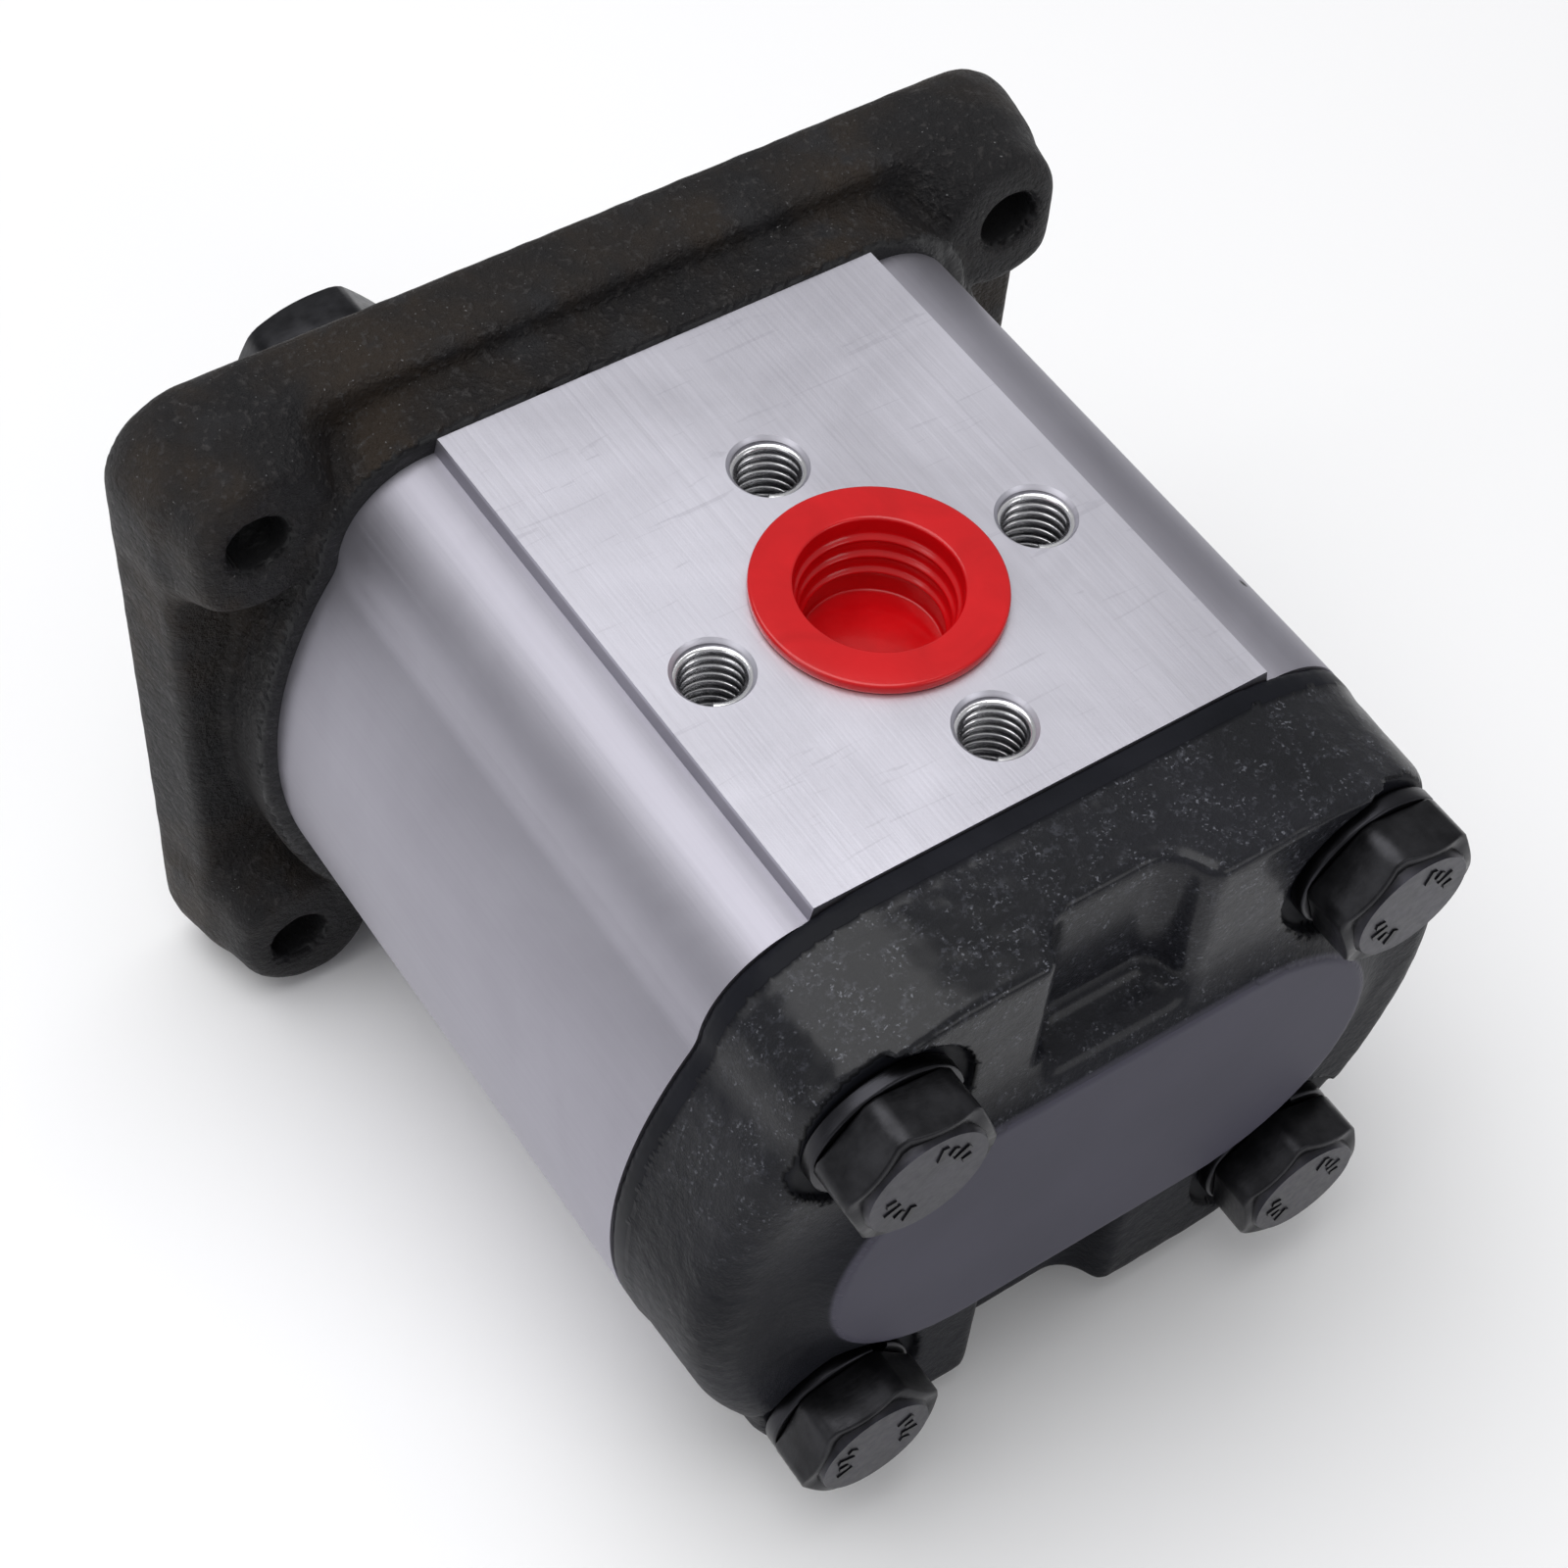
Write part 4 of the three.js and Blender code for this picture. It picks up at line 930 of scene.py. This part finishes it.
def hex_solid(flats, height, faced):
    """A hexagon from 0 to height, its far corners faced to a cone, closed at both ends."""
    edge = 0.3 * mm
    side_steps = 14
    cone = math.tan(math.radians(28))
    blunt = flats / math.sqrt(3) - 0.35 * mm
    sixth = math.pi / 3
    rows = []
    for angle in [sixth * (side + k / side_steps) for side in range(6) for k in range(side_steps)]:
        off = (angle + sixth / 2) % sixth - sixth / 2
        soft = min(flats / 2 / math.cos(sixth / 2 - abs(off)), blunt)
        row = [(faced * share, height) for share in (0.0, 0.55, 0.9, 0.985)]
        top = height - max(soft - faced, 0) * cone
        row.append((min(faced + 0.2 * mm, soft - edge), min(height - 0.06 * mm, top + 0.1 * mm)))
        row.append((soft - edge, top + edge * 0.35))
        row.append((soft - edge * 0.3, top - edge * 0.05))
        row.append((soft, top - edge * 0.6))
        row.append((soft, edge))
        row.append((soft - edge * 0.3, edge * 0.25))
        row.append((soft - edge, 0.0))
        row.append((0.0, 0.0))
        rows.append([(r * math.cos(angle), r * math.sin(angle), h) for r, h in row])
    faces = []
    count = len(rows[0])
    for k in range(len(rows)):
        here, after = k * count, (k + 1) % len(rows) * count
        for i in range(count - 1):
            faces.append((here + i, after + i, after + i + 1, here + i + 1))
    return sum(rows, []), faces


oxide = Finish("black_oxide_steel", Metallic=0.85)
wear = oxide.place.noise(300, detail=4)
smear = oxide.place.stretched(900, 2500, 900).noise(1.0, detail=3)
end_face = oxide.attribute("faced")
tint = wear.above(0.5, 0.25).between((0.014, 0.014, 0.016), (0.034, 0.034, 0.038))
end_face_grey = wear.above(0.5, 0.3).between((0.020, 0.020, 0.026), (0.050, 0.048, 0.060))
# The strokes raised on each head take the dark colour of the sides, as painted shade; the flat end
# is a lighter grey.
oxide.feed(Base_Color=end_face.between(tint, end_face_grey))
oxide.feed(Roughness=0.36 + (smear - 0.5) * 0.25 + (wear - 0.5) * 0.15)
oxide.relief(smear * 0.6 + wear * 0.5, 0.05 * mm, 0.6)


def mark_faced(mesh):
    """Stores which points lie on the head's flat end, coloured lighter than its sides; the strokes
    raised on it keep the sides' dark colour, as painted shade.
    """
    low, high = head_height - 0.25 * mm, head_height + 0.05 * mm
    flags = [1.0 if low < v.co.z < high else 0.0 for v in mesh.vertices]
    store = mesh.attributes.new("faced", "FLOAT", "POINT")
    store.data.foreach_set("value", flags)


def joined(name, meshes):
    """Several meshes as one."""
    tool = bmesh.new()
    for mesh in meshes:
        tool.from_mesh(mesh)
    merged = bpy.data.meshes.new(name)
    tool.to_mesh(merged)
    tool.free()
    return merged


def smoothed(mesh, sharpest):
    """Smooth shading, except across edges that turn by more than this many degrees."""
    mesh.shade_smooth()
    mesh.set_sharp_from_angle(angle=math.radians(sharpest))


tip_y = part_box("assembly_bolt_1")[1].y
seat_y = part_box("assembly_bolt_1")[0].y + head_height
length = tip_y - seat_y
shank_profile = [
    (0, -length),
    (tip_radius, -length),
    (shank_radius, -length + tip_length),
    (shank_radius, overlap),
    (0, overlap),
]
for number, (bx, bz) in enumerate(corners(bolt_reach), 1):
    points, faces = hex_solid(head_flats, head_height, head_face)
    head = solid_mesh("head", points, faces)
    shank = turned("shank", shank_profile, (0, 0, 0), "Z", 32)
    strokes = []
    for k in range(stroke_count):
        angle = 0.4 + k * 0.36 + (1.5 if k >= strokes_before_gap else 0)
        bar = bmesh.new()
        bmesh.ops.create_cube(bar, size=1.0)
        long = stroke_length if k % 2 else short_stroke
        size = Matrix.Diagonal((long, stroke_width, stroke_depth, 1))
        spot = Matrix.Rotation(angle, 4, "Z") @ Matrix.Translation((stroke_ring, 0, head_height))
        bar.transform(spot @ size)
        stroke = bpy.data.meshes.new("stroke")
        bar.to_mesh(stroke)
        bar.free()
        strokes.append(stroke)
    mesh = joined("assembly_bolt", [head, shank, *strokes])
    mark_faced(mesh)
    spin = Matrix.Rotation(-math.radians(head_turns_deg[number - 1]), 4, "Z")
    place = Matrix.Translation((bx, seat_y, bz)) @ Matrix.Rotation(math.pi / 2, 4, "X") @ spin
    mesh.transform(place)
    smoothed(mesh, 50)
    name = f"assembly_bolt_{number}_blackened"
    add_piece(name, mesh, oxide.material, "housing", "bolt_steel", f"assembly_bolt_{number}")

# ------------------------------------------------------------------ shaft key, washer and nut
# The coupling's fastenings on the tapered end of the drive shaft: a Woodruff key in its slot, a
# thick plain washer and a blackened hex nut, left on the thread for transport.

dress("shaft_key", gear_steel)
washer_low, washer_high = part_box("shaft_washer")
rim = washer_high.x
hole = 7.15 * mm
rounding = 0.3 * mm
low, high = washer_low.y, washer_high.y
profile = [(hole, low), (rim - rounding, low), (rim, low + rounding), (rim, high - rounding)]
profile += [(rim - rounding, high), (hole, high)]
mesh = turned("shaft_washer_blackened", profile, (0, 0, 0), "Y", 96, closed=True)
smoothed(mesh, 30)
add_piece(
    "shaft_washer_blackened", mesh, oxide.material, "drive_shaft", "shaft_hardware", "shaft_washer"
)

nut_flats, nut_face = 21 * mm, 9.9 * mm
nut_bore, nut_countersink = 7.0 * mm, 7.9 * mm
nut_low, nut_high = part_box("shaft_nut")
tall = nut_high.y - nut_low.y
points, faces = hex_solid(nut_flats, tall, nut_face)
nut = solid_mesh("shaft_nut_blackened", points, faces)
bore = [(0, -mm), (nut_bore, -mm), (nut_bore, tall - 0.8 * mm)]
bore += [(nut_countersink, tall + 0.1 * mm), (nut_countersink, tall + mm), (0, tall + mm)]
nut = cut(nut, turned("bore", bore, (0, 0, 0), "Z", 64))
spin = Matrix.Rotation(math.radians(50), 4, "Z")
face_front = Matrix.Rotation(-math.pi / 2, 4, "X")
nut.transform(Matrix.Translation((0, nut_low.y, 0)) @ face_front @ spin)
smoothed(nut, 40)
add_piece("shaft_nut_blackened", nut, oxide.material, "drive_shaft", "shaft_hardware", "shaft_nut")

# ------------------------------------------------------------------ transit plugs
# Injection-moulded red polyethylene cups, pressed into both ports to keep dirt out until the
# pump is piped up. A flat rim lies on the port face, and the cup has moulded grip ribs inside.

plug = Finish("glossy_red_plastic", Coat_Weight=0.1, Coat_Roughness=0.06, IOR=1.42)
swirl = plug.place.noise(110, detail=3, distortion=1.2)
peel = plug.place.noise(1500, detail=2)
plug.feed(Base_Color=swirl.above(0.5, 0.3).between((0.46, 0.002, 0.004), (0.58, 0.003, 0.006)))
plug.feed(Roughness=0.2 + (swirl - 0.5) * 0.12)
plug.relief(peel * 0.6 + swirl * 0.8, 0.04 * mm, 0.5)


def softened(profile, radius):
    """A profile with each of its inner corners rounded."""
    steps = 4
    result = [profile[0]]
    for before, here, after in zip(profile, profile[1:], profile[2:]):
        b, h, a = Vector(before), Vector(here), Vector(after)
        room = min(radius, (b - h).length * 0.45, (a - h).length * 0.45)
        start = h + (b - h).normalized() * room
        end = h + (a - h).normalized() * room
        for k in range(steps + 1):
            t = k / steps
            spot = start * (1 - t) ** 2 + h * 2 * t * (1 - t) + end * t**2
            result.append((spot.x, spot.y))
    result.append(profile[-1])
    return result


plug_play = 0.15 * mm
cup_wall = 1.1 * mm
rim_width = 3.35 * mm
cup_depth = 10 * mm
rib_count, rib_step = 3, 0.35 * mm
first_rib, rib_spacing = 2.2 * mm, 2.1 * mm

for label, side, port in (("inlet", 1, inlet_radius), ("outlet", -1, outlet_radius)):
    name = f"{label}_plug"
    low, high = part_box(name)
    top = high.z if side > 0 else -low.z
    bottom = low.z if side > 0 else -high.z
    outer = port - plug_play
    inner = outer - cup_wall
    flat = port + rim_width
    floor = top - cup_depth
    cup = [(0, bottom), (outer - 0.8 * mm, bottom), (outer, bottom + 0.8 * mm), (outer, port_z)]
    cup += [(flat, port_z), (flat, top), (inner, top)]
    for k in range(rib_count):
        ledge = top - first_rib - rib_spacing * k
        step = inner - rib_step * (k + 1)
        cup += [(inner - rib_step * k, ledge), (step - rib_step, ledge - 0.5 * mm)]
        cup += [(step, ledge - 1.0 * mm)]
    cup += [(inner - 1.1 * mm, floor + 0.2 * mm), (inner * 0.5, floor + 0.45 * mm)]
    cup += [(0, floor + 0.6 * mm)]
    cup = [(r, side * h) for r, h in softened(cup, 0.4 * mm)]
    mesh = turned(f"{name}_moulding", cup, (middle_x, port_y, 0), "Z", 128)
    smoothed(mesh, 60)
    add_piece(f"{name}_moulding", mesh, plug.material, f"{label}_plug_body", "plug_plastic", name)

# ------------------------------------------------------------------ studio
# A white table with soft boxes above and beside it, and the camera behind, above and to the left
# of the pump, looking along it.

table = Finish("white_table")
table.feed(Base_Color=table.place.noise(3).between((0.95, 0.95, 0.96), (0.97, 0.97, 0.98)))
table.feed(Roughness=0.6 + table.place.noise(8) * 0.1)
floor_z = cad_box[0].z - 0.5 * mm
half = 3.0
table_corners = [(x * half, y * half, floor_z) for x, y in ((-1, -1), (1, -1), (1, 1), (-1, 1))]
floor = bpy.data.objects.new("table", solid_mesh("table", table_corners, [(0, 1, 2, 3)]))
bpy.context.scene.collection.objects.link(floor)
floor.data.materials.append(table.material)

world = bpy.data.worlds.new("studio")
bpy.context.scene.world = world
world.use_nodes = True
sky = world.node_tree.nodes["Background"]
way = Flow(world.node_tree, world.node_tree.nodes.new("ShaderNodeTexCoord").outputs["Generated"])
overhead = way.part("Z").above(0.35, 0.55)
way.feed(sky.inputs["Color"], overhead.between((0.62, 0.63, 0.66), (1.0, 1.0, 1.0)))
sky.inputs["Strength"].default_value = 0.5

aim = Vector((middle_x, port_y, 0))
for name, spot, size, power in (
    ("top_box", (-0.15, 0.10, 0.80), 0.8, 5.5),
    ("left_box", (-0.80, -0.10, 0.35), 0.45, 0.6),
    ("rear_box", (0.30, -0.85, 0.45), 0.4, 0.9),
):
    lamp = bpy.data.lights.new(name, "AREA")
    lamp.shape = "SQUARE"
    lamp.size = size
    lamp.energy = power
    box = bpy.data.objects.new(name, lamp)
    bpy.context.scene.collection.objects.link(box)
    box.location = spot
    box.rotation_euler = (aim - Vector(spot)).to_track_quat("-Z", "Y").to_euler()
bpy.context.scene.view_settings.view_transform = "Standard"

camera_spot = (-0.1218, -0.2169, 0.2846)
camera_data = bpy.data.cameras.new("camera")
camera_data.lens = 72.97
camera_data.sensor_width = 36
camera = bpy.data.objects.new("camera", camera_data)
bpy.context.scene.collection.objects.link(camera)
right = Vector((0.827, -0.558, 0.063)).normalized()
forward = Vector((0.379, 0.471, -0.797)).normalized()
up = right.cross(forward).normalized()
right = forward.cross(up).normalized()
pose = Matrix((right, up, -forward)).transposed().to_4x4()
camera.matrix_world = Matrix.Translation(camera_spot) @ pose
bpy.context.scene.camera = camera
